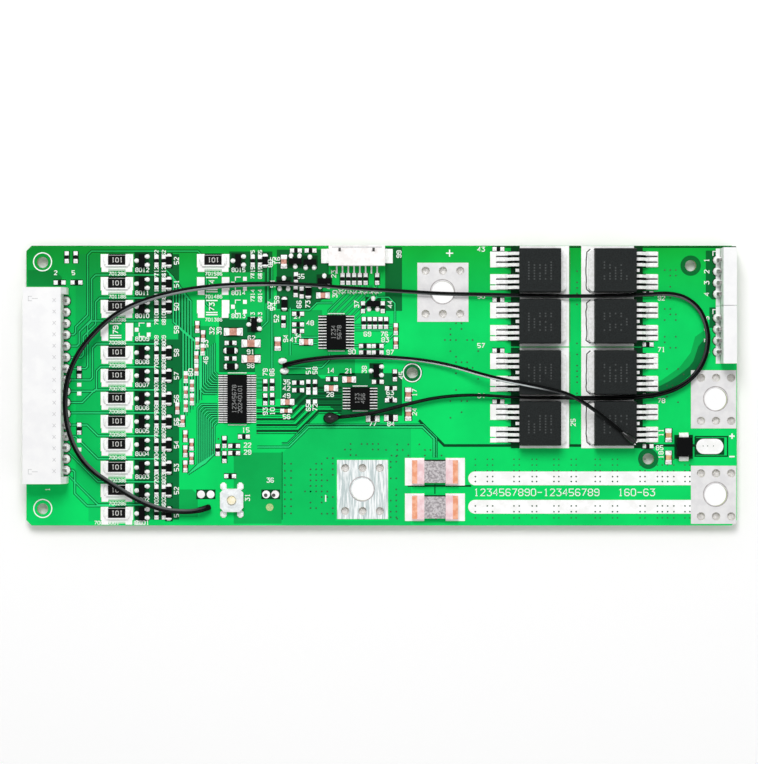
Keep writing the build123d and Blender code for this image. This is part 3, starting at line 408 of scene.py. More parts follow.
@dataclass
class Sheet:
    """Collects flat and solid shapes, in millimetres, into one mesh.

    Args:
        name: Name of the piece.
        finish: Its finish.
        slot: Its material slot; not used.
        verts: Corners so far.
        faces: Faces so far, each a list of corners.
        shapes: Number of flat shapes so far.
        rise: Height of one level, by which a shape clears another that it crosses.
        levels: Number of levels that are used in turn.
    """

    name: str
    finish: Surface
    slot: str
    verts: list[Point3] = field(default_factory=list)
    faces: list[list[int]] = field(default_factory=list)
    shapes: int = 0
    rise: float = 0.0003
    levels: int = 40

    def raised(self, z: float) -> float:
        """Lift each further shape by a hair, so that two that cross don't share a plane."""
        self.shapes += 1
        return z + self.rise * (self.shapes % self.levels)

    def polygon(self, points: Sequence[Point2], z: float) -> None:
        """Add a flat polygon that faces up.

        Args:
            points: Its corners, anticlockwise.
            z: Its height.
        """
        z = self.raised(z)
        start = len(self.verts)
        self.verts += [(x, y, z) for x, y in points]
        self.faces.append(list(range(start, start + len(points))))

    def rectangle(self, x: float, y: float, width: float, height: float, z: float) -> None:
        """Add a flat rectangle round a middle point."""
        w, h = width / 2, height / 2
        self.polygon([(x - w, y - h), (x + w, y - h), (x + w, y + h), (x - w, y + h)], z)

    def disc(self, x: float, y: float, radius: float, z: float, sides: int = 12) -> None:
        """Add a flat disc round a middle point."""
        self.polygon([(x + radius * math.cos(t), y + radius * math.sin(t)) for t in turns(sides)], z)

    def ring(self, x: float, y: float, inner: float, outer: float, z: float, sides: int = 40) -> None:
        """Add a flat ring.

        Args:
            x: Its middle along the board.
            y: Its middle across the board.
            inner: Radius of its hole.
            outer: Its own radius.
            z: Its height.
            sides: Number of its sides.
        """
        z = self.raised(z)
        start = len(self.verts)
        for turn in turns(sides):
            c, s = math.cos(turn), math.sin(turn)
            self.verts += [(x + inner * c, y + inner * s, z), (x + outer * c, y + outer * s, z)]
        for n in range(sides):
            a, b = start + 2 * n, start + 2 * ((n + 1) % sides)
            self.faces.append([a, a + 1, b + 1, b])

    def ribbon(self, route: Sequence[Point2], width: float, z: float) -> None:
        """Add a flat band of even width, mitred at its corners.

        Args:
            route: Its middle line.
            width: Its width.
            z: Its height.
        """
        z = self.raised(z)
        points = [Vector(p) for p in route]
        start = len(self.verts)
        for n, point in enumerate(points):
            back = (point - points[n - 1]).normalized() if n else (points[1] - point).normalized()
            ahead = (points[n + 1] - point).normalized() if n < len(points) - 1 else back
            middle = (back + ahead).normalized()
            side = Vector((-middle.y, middle.x)) * (width / 2 / max(SHARPEST_MITRE, middle.dot(ahead)))
            self.verts += [(*(point - side), z), (*(point + side), z)]
        for n in range(len(points) - 1):
            a = start + 2 * n
            self.faces.append([a, a + 2, a + 3, a + 1])

    def block(self, low: Point3, high: Point3) -> None:
        """Add a closed box.

        Args:
            low: Its lowest corner.
            high: Its highest corner.
        """
        start = len(self.verts)
        self.verts += [(x, y, z) for z in (low[2], high[2]) for x, y in
                       ((low[0], low[1]), (high[0], low[1]), (high[0], high[1]), (low[0], high[1]))]
        for quad in ((3, 2, 1, 0), (4, 5, 6, 7), (0, 1, 5, 4), (1, 2, 6, 5), (2, 3, 7, 6), (3, 0, 4, 7)):
            self.faces.append([start + i for i in quad])

    def dish(self, x: float, y: float, profile: Sequence[Point2], sides: int = 16) -> None:
        """Fill a small hole with a dish that closes in its middle.

        Args:
            x: Its middle along the board.
            y: Its middle across the board.
            profile: Radius and height of each ring of corners, from the outside to the middle.
            sides: Number of its sides.
        """
        start = len(self.verts)
        for radius, height in profile[:-1]:
            self.verts += [(x + radius * math.cos(t), y + radius * math.sin(t), height) for t in turns(sides)]
        self.verts.append((x, y, profile[-1][1]))
        last = start + (len(profile) - 2) * sides
        for low in range(start, last, sides):
            for n in range(sides):
                a, b = low + n, low + (n + 1) % sides
                self.faces.append([a, b, b + sides, a + sides])
        for n in range(sides):
            self.faces.append([last + n, last + (n + 1) % sides, len(self.verts) - 1])

    def build(self, body: str = BODY) -> bpy.types.Object:
        """Make the object, give it its material and let it ride on a body.

        Args:
            body: The body that it moves with.

        Returns:
            The finished object.
        """
        mesh = bpy.data.meshes.new(self.name)
        mesh.from_pydata([Vector(v) * MM for v in self.verts], [], self.faces)
        mesh.materials.append(self.finish.build())
        return settle(bpy.data.objects.new(self.name, mesh), body)


def node_box(node: str) -> tuple[list[float], list[float]]:
    """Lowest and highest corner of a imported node, in millimetres."""
    low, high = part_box(node)
    return [v / MM for v in low], [v / MM for v in high]


def settle(piece: bpy.types.Object, body: str = BODY) -> bpy.types.Object:
    """Link a piece that isn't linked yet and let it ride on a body.

    Args:
        piece: The finished object.
        body: The body that it moves with.

    Returns:
        The same object.
    """
    if piece.name not in bpy.context.scene.collection.objects:
        bpy.context.scene.collection.objects.link(piece)
    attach(piece, body)
    LOG.info("piece %s with %d faces", piece.name, len(piece.data.polygons))
    return piece


def solids(node: str) -> list[Box]:
    """Boxes of a CAD node's separate solids, in millimetres, sorted by place.

    Args:
        node: Name of the CAD node.

    Returns:
        Lowest and highest corner of each solid.
    """
    mesh = bpy.data.objects[node].data
    keys: dict[tuple[int, int, int], int] = {}
    owner: list[int] = []
    parent: list[int] = []
    for vertex in mesh.vertices:
        key = tuple(round(c * 1e6) for c in vertex.co)
        if key not in keys:
            keys[key] = len(parent)
            parent.append(len(parent))
        owner.append(keys[key])

    def root(i: int) -> int:
        """Follow a vertex to the one that stands for its solid.

        Args:
            i: Number of the vertex.

        Returns:
            Number of the vertex at the end of the chain.
        """
        while parent[i] != i:
            parent[i] = parent[parent[i]]
            i = parent[i]
        return i

    for polygon in mesh.polygons:
        first = root(owner[polygon.vertices[0]])
        for index in polygon.vertices[1:]:
            parent[root(owner[index])] = first
    boxes: dict[int, Box] = {}
    for vertex in mesh.vertices:
        place = vertex.co / MM
        group = root(owner[vertex.index])
        if group not in boxes:
            boxes[group] = (place.copy(), place.copy())
        low, high = boxes[group]
        for axis in range(3):
            low[axis], high[axis] = min(low[axis], place[axis]), max(high[axis], place[axis])
    return sorted(boxes.values(), key=lambda box: (round(box[0].x, 2), round(box[0].y, 2)))


class Form(Enum):
    """Shape that a repeated piece starts from."""

    BLOCK = "block"
    DROP = "drop"


class RepeatTree:
    """Geometry tree that sets one shape on every point, turned by the point's own angle."""

    INPUTS = {"Geometry": "NodeSocketGeometry", "Size": "NodeSocketVector", "Offset": "NodeSocketVector",
              "Material": "NodeSocketMaterial"}

    @classmethod
    def tree(cls, form: Form) -> bpy.types.NodeTree:
        """Build the tree of one form once.

        Args:
            form: The shape that it repeats.

        Returns:
            The tree, with inputs Size, Offset and Material.
        """
        found = bpy.data.node_groups.get(form.value)
        if found:
            return found
        tree = bpy.data.node_groups.new(form.value, "GeometryNodeTree")
        for name, kind in cls.INPUTS.items():
            tree.interface.new_socket(name, in_out="INPUT", socket_type=kind)
        tree.interface.new_socket("Geometry", in_out="OUTPUT", socket_type="NodeSocketGeometry")
        source = add_node(tree, "NodeGroupInput")
        if form is Form.BLOCK:
            shape = add_node(tree, "GeometryNodeMeshCube", {"Size": source.outputs["Size"]})
            scale = (1.0, 1.0, 1.0)
        else:
            shape = add_node(tree, "GeometryNodeMeshUVSphere", {"Segments": 10, "Rings": 6, "Radius": 0.5})
            scale = source.outputs["Size"]
        moved = add_node(tree, "GeometryNodeTransform", {
            "Geometry": shape.outputs[0], "Translation": source.outputs["Offset"], "Scale": scale})
        angle = add_node(tree, "GeometryNodeInputNamedAttribute", {"Name": "turn"}, data_type="FLOAT")
        turn = add_node(tree, "ShaderNodeCombineXYZ", {"Z": angle.outputs[0]})
        placed = add_node(tree, "GeometryNodeInstanceOnPoints", {
            "Points": source.outputs["Geometry"], "Instance": moved.outputs[0], "Rotation": turn.outputs[0]})
        real = add_node(tree, "GeometryNodeRealizeInstances", {0: placed.outputs[0]})
        painted = add_node(tree, "GeometryNodeSetMaterial", {
            "Geometry": real.outputs[0], "Material": source.outputs["Material"]})
        add_node(tree, "NodeGroupOutput", {0: painted.outputs[0]})
        return tree


@dataclass(frozen=True)
class Spot:
    """A place for a repeated shape.

    Args:
        x: Place along the board in millimetres.
        y: Place across the board.
        z: Height of the base.
        turn: Angle about the upright axis in radians.
    """

    x: float
    y: float
    z: float
    turn: float = 0.0


def grown(name: str, spots: Sequence[Spot], tree: bpy.types.NodeTree, values: dict[str, object]) -> bpy.types.Mesh:
    """Run a geometry tree over points and return the plain mesh.

    Args:
        name: Name of the mesh.
        spots: Where the shape repeats.
        tree: The geometry tree.
        values: Input name to value; sizes are in metres.

    Returns:
        The realised mesh.
    """
    mesh = bpy.data.meshes.new(name)
    mesh.from_pydata([(s.x * MM, s.y * MM, s.z * MM) for s in spots], [], [])
    turns = mesh.attributes.new("turn", "FLOAT", "POINT")
    turns.data.foreach_set("value", [s.turn for s in spots])
    carrier = bpy.data.objects.new(name + "_points", mesh)
    bpy.context.scene.collection.objects.link(carrier)
    modifier = carrier.modifiers.new("grow", "NODES")
    modifier.node_group = tree
    for item in tree.interface.items_tree:
        if item.item_type == "SOCKET" and item.in_out == "INPUT" and item.name in values:
            modifier[item.identifier] = values[item.name]
    graph = bpy.context.evaluated_depsgraph_get()
    result = bpy.data.meshes.new_from_object(carrier.evaluated_get(graph), depsgraph=graph)
    bpy.data.objects.remove(carrier)
    bpy.data.meshes.remove(mesh)
    result.name = name
    return result


@dataclass(frozen=True)
class BlockShape:
    """A repeated shape and where it stands relative to a spot.

    Args:
        size: Length, width and height in millimetres.
        offset: Centre of the block relative to the spot.
        form: Block or drop.
    """

    size: Point3
    offset: Point3
    form: Form = Form.BLOCK


def blocks(name: str, rows: Sequence[tuple[Sequence[Spot], BlockShape]], finish: Surface,
           bevel: float = 0.0) -> bpy.types.Object:
    """Make one piece out of repeated blocks.

    Args:
        name: Name of the piece.
        rows: Spots with the block that stands on each.
        finish: Its finish.
        bevel: Edge softening in millimetres.

    Returns:
        The piece.
    """
    joined = bmesh.new()
    for spots, shape in rows:
        if not spots:
            continue
        mesh = grown(name, spots, RepeatTree.tree(shape.form), {
            "Size": [v * MM for v in shape.size], "Offset": [v * MM for v in shape.offset],
            "Material": finish.build()})
        joined.from_mesh(mesh)
        bpy.data.meshes.remove(mesh)
    whole = bpy.data.meshes.new(name)
    joined.to_mesh(whole)
    joined.free()
    whole.materials.clear()
    whole.materials.append(finish.build())
    piece = bpy.data.objects.new(name, whole)
    round_form = any(shape.form is Form.DROP for _, shape in rows)
    for polygon in whole.polygons:
        polygon.use_smooth = round_form
    if bevel:
        edge = piece.modifiers.new("edge", "BEVEL")
        edge.width = bevel * MM
        edge.segments = 2
        edge.limit_method = "ANGLE"
    return settle(piece)


def dress(nodes: Sequence[str], finish: Surface) -> None:
    """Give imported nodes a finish.

    Args:
        nodes: Names of the nodes.
        finish: The finish that they get.
    """
    for name in nodes:
        node = bpy.data.objects[name]
        if not node.material_slots:
            node.data.materials.append(None)
        for place in node.material_slots:
            place.material = finish.build()
        LOG.info("node %s in %s", name, finish.name)


@dataclass(frozen=True)
class Stroke:
    """One printed number: its text, place, height and turn.

    Args:
        text: Digits, plus or minus signs.
        x: Middle of the number along the board in millimetres.
        y: Middle across the board.
        height: Height of the digits; a negative height turns them upside down.
        upright: Whether it reads along Y.
    """

    text: str
    x: float
    y: float
    height: float = 0.85
    upright: bool = False


class Numerals:
    """Digits and signs as strokes on a grid four wide and six high, with a gap between two digits."""

    GRID = (4, 6)
    GAP = 1.7
    LINES: dict[str, list[list[Point2]]] = {
        "0": [[(1, 0), (3, 0), (4, 1), (4, 5), (3, 6), (1, 6), (0, 5), (0, 1), (1, 0)]],
        "1": [[(1, 5), (2, 6), (2, 0)], [(1, 0), (3, 0)]],
        "2": [[(0, 5), (1, 6), (3, 6), (4, 5), (4, 4), (0, 0), (4, 0)]],
        "3": [[(0, 6), (4, 6), (2, 4), (4, 3), (4, 1), (3, 0), (1, 0), (0, 1)]],
        "4": [[(3, 0), (3, 6), (0, 2), (4, 2)]],
        "5": [[(4, 6), (0, 6), (0, 3), (3, 3), (4, 2), (4, 1), (3, 0), (0, 0)]],
        "6": [[(4, 5), (3, 6), (1, 6), (0, 5), (0, 1), (1, 0), (3, 0), (4, 1), (4, 2), (3, 3), (0, 3)]],
        "7": [[(0, 6), (4, 6), (1, 0)]],
        "8": [[(1, 3), (0, 4), (0, 5), (1, 6), (3, 6), (4, 5), (4, 4), (3, 3), (1, 3), (0, 2), (0, 1), (1, 0),
               (3, 0), (4, 1), (4, 2), (3, 3)]],
        "9": [[(0, 1), (1, 0), (3, 0), (4, 1), (4, 5), (3, 6), (1, 6), (0, 5), (0, 4), (1, 3), (4, 3)]],
        "+": [[(0, 3), (4, 3)], [(2, 1), (2, 5)]],
        "-": [[(0, 3), (4, 3)]],
    }

    @classmethod
    def write(cls, sheet: Sheet, stroke: Stroke, z: float, weight: float) -> None:
        """Draw one number onto a sheet.

        Args:
            sheet: The sheet that takes the strokes.
            stroke: The number and its place.
            z: Height of the print.
            weight: Stroke width as a share of the digit height.
        """
        unit = stroke.height / cls.GRID[1]
        advance = cls.GRID[0] + cls.GAP
        shift = (len(stroke.text) * advance - cls.GAP) / 2
        for n, sign in enumerate(stroke.text):
            for line in cls.LINES[sign]:
                flat = [((px + n * advance - shift) * unit, (py - cls.GRID[1] / 2) * unit) for px, py in line]
                route = [(stroke.x - b, stroke.y + a) if stroke.upright else (stroke.x + a, stroke.y + b)
                         for a, b in flat]
                sheet.ribbon(route, weight * abs(stroke.height), z)


class Layer(Enum):
    """Heights of the flat layers above the board, in millimetres."""

    BARE = 0.006
    GAP = 0.02
    TRACK = 0.034
    VIA = 0.048
    PAD = 0.062
    INK = 0.076
    LAND = 0.13

    @property
    def z(self) -> float:
        """Height above the frame's origin."""
        return TOP + self.value


def pairs(flat: Sequence[float]) -> list[Point2]:
    """Turn X, Y, X, Y and so on into points."""
    return list(zip(flat[::2], flat[1::2]))


@dataclass
class CopperPattern:
    """Tracks, copper areas and plated holes as they show through the solder resist.

    A route or an area is a row of places X, Y in millimetres, one after another. Areas run anticlockwise.
    """

    width: float = 0.3
    fine: float = 0.24
    gap: float = 0.16
    pin_x: float = -70.4
    first_pin_y: float = 19.05
    pin_pitch: float = 2.54
    first_row_y: float = 24.9
    row_pitch: float = 5.175
    row_end_x: float = -50.0
    low_lanes: Flat = (-68.9, -68.1, -67.2, -66.2, -65.1, -64.2)
    high_lanes: Flat = (-66.2, -65.3, -64.4, -66.2, -65.1, -64.2)
    bend: float = 0.9
    last_pin: Flat = (-70.4, -19.05, -69.5, -19.05, -69.1, -19.5, -69.1, -24.3, -66.3, -27.1, -60.0, -27.1)
    chip_sides: Point2 = (-36.9, -28.2)
    chip_first_y: float = 2.25
    chip_pitch: float = 0.5
    fan: int = 9
    control: tuple[Flat, ...] = (
        (-25.6, 27.0, -25.6, 14.5, -27.5, 12.6), (-24.7, 27.0, -24.7, 3.0), (-20.6, 17.5, -20.6, 6.8),
        (-19.4, 17.0, -16.2, 17.0, -14.6, 18.6, -11.0, 18.6),
        (-6.5, 9.0, 0.2, 9.0, 3.0, 11.8, 3.0, 18.5, 1.6, 19.9, -2.5, 19.9), (-6.6, 13.6, 2.4, 13.6),
        (-6.6, 12.5, 2.4, 12.5), (-19.8, 10.9, -13.4, 10.9), (-19.8, 9.5, -14.6, 9.5),
        (-20.8, 4.0, -13.5, 4.0, -11.8, 5.7, -11.8, 7.2))
    power: tuple[tuple[float, Flat], ...] = (
        (0.3, (-28.0, -13.84, -20.9, -13.84, -16.4, -9.35, 9.2, -9.35, 11.8, -11.95, 11.8, -16.2)),
        (0.12, (-22.5, -13.0, -21.2, -13.0, -17.0, -8.8, 9.4, -8.8, 12.4, -11.8, 12.4, -16.2)))
    cuts: tuple[tuple[float, Flat], ...] = (
        (0.6, (8.4, -7.8, 14.1, -13.5, 72.6, -13.5)), (0.15, (-22.4, -14.9, -22.4, -30.2)),
        (0.3, (70.6, -11.5, 77.9, -11.5, 77.9, -15.9, 70.6, -15.9, 70.6, -11.5)),
        (0.4, (5.9, -22.6, 20.2, -22.6)), (0.25, (12.0, -22.2, 12.0, -24.4)), (0.35, (25.4, 31.2, 79.8, 31.2)))
    bare_areas: tuple[Flat, ...] = (
        (-55.7, -30.2, -45.6, -30.2, -45.6, 1.0, -44.8, 2.0, -44.8, 16.0, -45.6, 17.0, -45.6, 29.6, -49.0, 29.6,
         -49.8, 30.4, -55.7, 30.4),
        (-34.3, 14.6, -26.2, 14.6, -26.2, 18.4, -24.6, 20.0, -24.6, 30.2, -34.3, 30.2),
        (-23.6, 17.2, -15.6, 17.2, -13.2, 19.5, -13.2, 23.7, -11.9, 25.0, -11.9, 30.6, -23.6, 30.6),
        (-36.6, 3.0, -27.6, 3.0, -27.6, 14.4, -28.6, 15.4, -36.6, 15.4),
        (-22.6, -4.4, -12.0, -4.4, -9.0, -6.8, 4.6, -6.8, 4.6, 2.8, -9.4, 2.8, -10.4, 1.6, -13.6, 1.6,
         -14.6, 2.6, -22.6, 2.6),
        (73.0, 20.8, 74.4, 19.4, 76.3, 19.4, 76.3, 30.4, 73.0, 30.4),
        (73.8, 13.0, 76.3, 13.0, 76.3, 17.6, 73.8, 17.6), (0.8, 16.8, 4.6, 16.8, 4.6, 31.2, 0.8, 31.2))
    # Painted shadow of the long lead's right loop, darkest next to the lead
    painted_loop_shadow: tuple[Flat, ...] = (
        (71.3, 8.8, 70.2, 5.5, 69.3, 4.3, 68.0, 3.2, 66.5, 2.1, 64.8, 1.0, 62.6, -0.1, 60.8, -1.2, 62.8, -1.6,
         65.3, -0.6, 67.1, 0.5, 68.6, 1.6, 70.1, 2.8, 71.3, 4.0, 72.2, 5.5, 73.2, 8.8, 72.6, 10.4),)
    thin_areas: tuple[Flat, ...] = (
        (-44.6, -2.2, -37.4, -2.2, -37.4, 13.4, -44.6, 13.4),
        (-33.3, -31.1, -22.5, -31.1, -22.5, -15.1, -33.3, -15.1),
        (-79.7, 22.4, -72.0, 22.4, -72.0, 24.4, -73.6, 26.0, -79.7, 26.0),
        # Painted shadow inside the long lead's right loop, wider and fainter
        (70.6, 11.0, 69.6, 7.4, 67.0, 4.0, 63.0, 1.2, 58.0, -0.6, 58.0, -2.0, 62.0, -1.6, 67.2, 0.2, 71.2, 4.0,
         72.9, 8.4, 72.6, 12.4),
        (-28.5, -3.0, -22.8, -3.0, -22.8, 2.4, -6.0, 2.4, -6.0, 8.0, -9.4, 11.4, -13.4, 11.4, -13.4, 17.0,
         -28.5, 17.0), (-45.6, -29.6, -41.4, -29.6, -41.4, -24.6, -42.6, -23.4, -45.6, -23.4))
    broad_areas: tuple[Flat, ...] = (
        (-58.6, 29.6, -68.9, 29.6, -68.9, -21.0, -66.0, -24.0, -66.0, -30.6, -58.6, -30.6),
        (-22.4, -31.4, -10.4, -31.4, -10.4, -9.7, -16.8, -9.7, -22.4, -15.3),
        (1.7, -31.4, 6.6, -31.4, 6.6, -9.7, 1.7, -9.7), (-10.4, -31.4, 1.7, -31.4, 1.7, -30.5, -10.4, -30.5),
        (-10.4, -16.2, 1.7, -16.2, 1.7, -9.7, -10.4, -9.7))
    broad_covers: tuple[Flat, ...] = (
        (-55.6, 10.4, -45.8, 10.4, -45.8, 15.0, -55.6, 15.0),
        (-34.25, 14.9, -26.35, 14.9, -26.35, 25.5, -34.25, 25.5))
    rings: Flat = (69.6, 27.0, 60.05, -16.5, 6.9, 2.9)
    ring: Point2 = (1.25, 2.3)
    strip_holes: Flat = (21.1, 23.8, 25.0, 29.8, 31.0, 33.9, 34.9, 38.8, 39.9, 42.7, 43.8, 48.1, 49.2, 52.0, 53.1,
                         58.2, 59.3, 62.1, 63.2, 64.4, 65.8, 68.3, 69.4)
    field_holes: tuple[tuple[float, float, float, float, int], ...] = (
        (-13.5, -22.6, 6.5, 13.6, 60), (3.3, -23.4, 1.6, 14.0, 22), (-4.5, -14.4, 9.0, 2.6, 16),
        (18.0, 4.0, 7.0, 22.0, 34), (65.0, 16.0, 3.0, 22.0, 22), (65.5, 0.0, 4.0, 8.0, 12),
        (44.0, 12.0, 1.0, 32.0, 18), (6.0, -14.5, 16.0, 3.0, 14), (-33.0, -12.0, 12.0, 8.0, 10),
        (3.5, -30.0, 18.0, 1.0, 10))
    via_pitch: float = 1.25
    overlap: float = 0.0125

    def __post_init__(self) -> None:
        """Start one sheet for each kind of area."""
        self.bare = Sheet("copper_free_areas", CHANNEL, "laminate")
        self.gaps = Sheet("track_clearances", CLEARANCE, "laminate")
        self.thin = Sheet("inner_pours", THIN, "laminate")
        self.broad = Sheet("broad_pour", BROAD, "laminate")
        self.tracks = Sheet("signal_tracks", TRACK, "laminate")
        self.vias = Sheet("plated_holes", VIA_DARK, "laminate")

    def track(self, route: Sequence[Point2], width: float | None = None) -> None:
        """Lay one track with its copper-free gaps.

        Args:
            route: Its middle line.
            width: Its width, where it isn't a signal track's.
        """
        wide = width or self.width
        self.cut(route, wide + 2 * self.gap)
        self.tracks.ribbon(route, wide, Layer.TRACK.z)

    def cut(self, route: Sequence[Point2], width: float) -> None:
        """Leave a copper-free line between two copper areas."""
        self.gaps.ribbon(route, width, Layer.GAP.z)

    def climb(self, lane: int, pin_y: float, row_y: float) -> list[Point2]:
        """Find the way from one of the rear pins, up its lane and into its row.

        Args:
            lane: Number of the lane, from the rear.
            pin_y: Place of the pin across the board.
            row_y: Place of the row across the board.

        Returns:
            The points of the route.
        """
        low, high = self.low_lanes[lane], self.high_lanes[lane]
        jog = 13.2 - 1.1 * lane
        route = [(self.pin_x, pin_y), (low - 0.5, pin_y), (low, pin_y + 0.5)]
        if high != low:
            route += [(low, jog), (high, jog + high - low)]
        return route + [(high, row_y - self.bend), (high + self.bend, row_y)]

    def cell_tracks(self) -> None:
        """Tracks from the cell header to the rows of cell channels; the first one runs on past its row."""
        for row in range(-1, 11):
            first = row < 0
            row_y = self.first_row_y - row * self.row_pitch + (0.2 if first else 0.0)
            pin_y = self.first_pin_y - (row + 4) * self.pin_pitch
            if row < 5:
                route = self.climb(row + 1, pin_y, row_y)
            elif row < 6:
                route = [(self.pin_x, pin_y), (-67.4, pin_y), (-64.6, row_y)]
            elif row < 7:
                route = [(self.pin_x, row_y)]
            else:
                route = [(self.pin_x, pin_y), (row_y - pin_y - 63.9, pin_y), (-63.9, row_y)]
            end = self.row_end_x + (8.6 if first else 0)
            route.append((end, row_y))
            if first:
                route += [(end + 1.9, row_y - 1.9), (end + 1.9, 18.5), (end + 3.5, 16.9)]
            self.track(route)
        self.track(pairs(self.last_pin))

    def channel_bundle(self) -> None:
        """Upright tracks between the cell channels and the monitor chip."""
        shift = 2.2
        for lane in range(7):
            x = -46.9 + 0.66 * lane
            top = 24.4 - 0.9 * lane
            turn = 14.3 - 0.55 * lane
            self.track([(x - 1.6, top + 1.6), (x, top), (x, turn), (x + shift, turn - shift),
                        (x + shift, -7.5 + 0.7 * lane)], 0.28)

    def monitor_fan(self) -> None:
        """Nested tracks at the monitor chip's left pins, and a broad bundle from its right pins."""
        left, right = self.chip_sides
        for n in range(self.fan):
            y = self.chip_first_y - n * self.chip_pitch
            lane = -37.6 - 0.42 * n
            self.track([(left, y), (lane + self.bend, y), (lane, y + self.bend), (lane, 9.6 - 0.35 * n)], 0.2)
        for n in range(self.fan):
            y = self.chip_first_y - (21 - n) * self.chip_pitch
            lane, foot = -37.7 - 0.46 * n, -15.4 - 0.3 * n
            self.track([(left, y), (lane + 0.8, y), (lane, y - 0.8), (lane, foot), (lane - 2.2, foot - 2.2)], 0.22)
        end, rise, edge = -9.0, 4.5, 0.62
        for n in range(5):
            y = -5.0 - 1.3 * n
            corner = -20.9 + 0.55 * n
            for low, width in ((y, 0.55), (y - edge, 0.16)):
                self.cut([(right, low), (corner, low), (corner + rise, low + rise), (end, low + rise)], width)
        for n in range(4):
            self.track([(right, 1.7 - 0.9 * n), (-26.9, 1.7 - 0.9 * n)], self.fine)

    def chip_tracks(self) -> None:
        """Slanting tracks between the signal socket and the control chip, and the ones round that chip."""
        for n in range(6):
            x, foot = -7.6 + 1.3 * n, -11.9 + 0.65 * n
            knee = 21.2 - 0.3 * n
            self.track([(x, 22.6), (x, knee), (foot, knee - (x - foot)), (foot, 16.4)], 0.22)
        for route in self.control:
            self.track(pairs(route), self.fine)

    def power_lines(self) -> None:
        """Tracks and copper-free lines between the power copper."""
        for width, route in self.power:
            self.track(pairs(route), width)
        for width, route in self.cuts:
            self.cut(pairs(route), width)

    def areas(self) -> None:
        """Areas with other copper under the resist than the board's own colour shows, and the painted shadow of the
        long lead's right loop.
        """
        for sheet, areas, covers in ((self.bare, self.bare_areas, self.painted_loop_shadow),
                                     (self.thin, self.thin_areas, ()),
                                     (self.broad, self.broad_areas, self.broad_covers)):
            for area in areas:
                sheet.polygon(pairs(area), Layer.BARE.z)
            for area in covers:
                sheet.polygon(pairs(area), Layer.BARE.z + self.overlap)
        for x, y in pairs(self.rings):
            self.bare.ring(x, y, *self.ring, Layer.BARE.z)

    def hole(self, x: float, y: float, radius: float, layer: Layer = Layer.VIA) -> None:
        """Mark the mouth of one small plated hole with a dark disc of painted shade."""
        self.vias.disc(x, y, radius, layer.z, 8)

    def via_dots(self) -> None:
        """Small plated holes, in pairs along the strips and loose over the power copper."""
        for x in self.strip_holes:
            for y in (-20.5, -21.6, -27.1, -28.4):
                self.hole(x, y, 0.19, Layer.LAND)
            for y in (-16.6, -17.9, -19.2, -29.8):
                self.hole(x, y, 0.16)
        for x in (-21.8, -20.4):
            for n in range(8):
                self.hole(x, -17.6 - 1.6 * n, 0.2)
        spread = random.Random(SEED)
        for x, y, wide, high, count in self.field_holes:
            for _ in range(count):
                across, along = (round(spread.uniform(-0.5, 0.5) * reach / self.via_pitch) for reach in (wide, high))
                self.hole(x + across * self.via_pitch, y + along * self.via_pitch, 0.19)
        for x in (72.4, 73.4, 74.7):
            self.hole(x, -13.6, 0.12, Layer.LAND)

    def build(self) -> None:
        """Lay the whole pattern."""
        dress(["circuit_board"], RESIST)
        for step in (self.areas, self.cell_tracks, self.channel_bundle, self.monitor_fan, self.chip_tracks,
                     self.power_lines, self.via_dots):
            step()
        for sheet in (self.thin, self.broad, self.bare, self.gaps, self.tracks, self.vias):
            sheet.build()


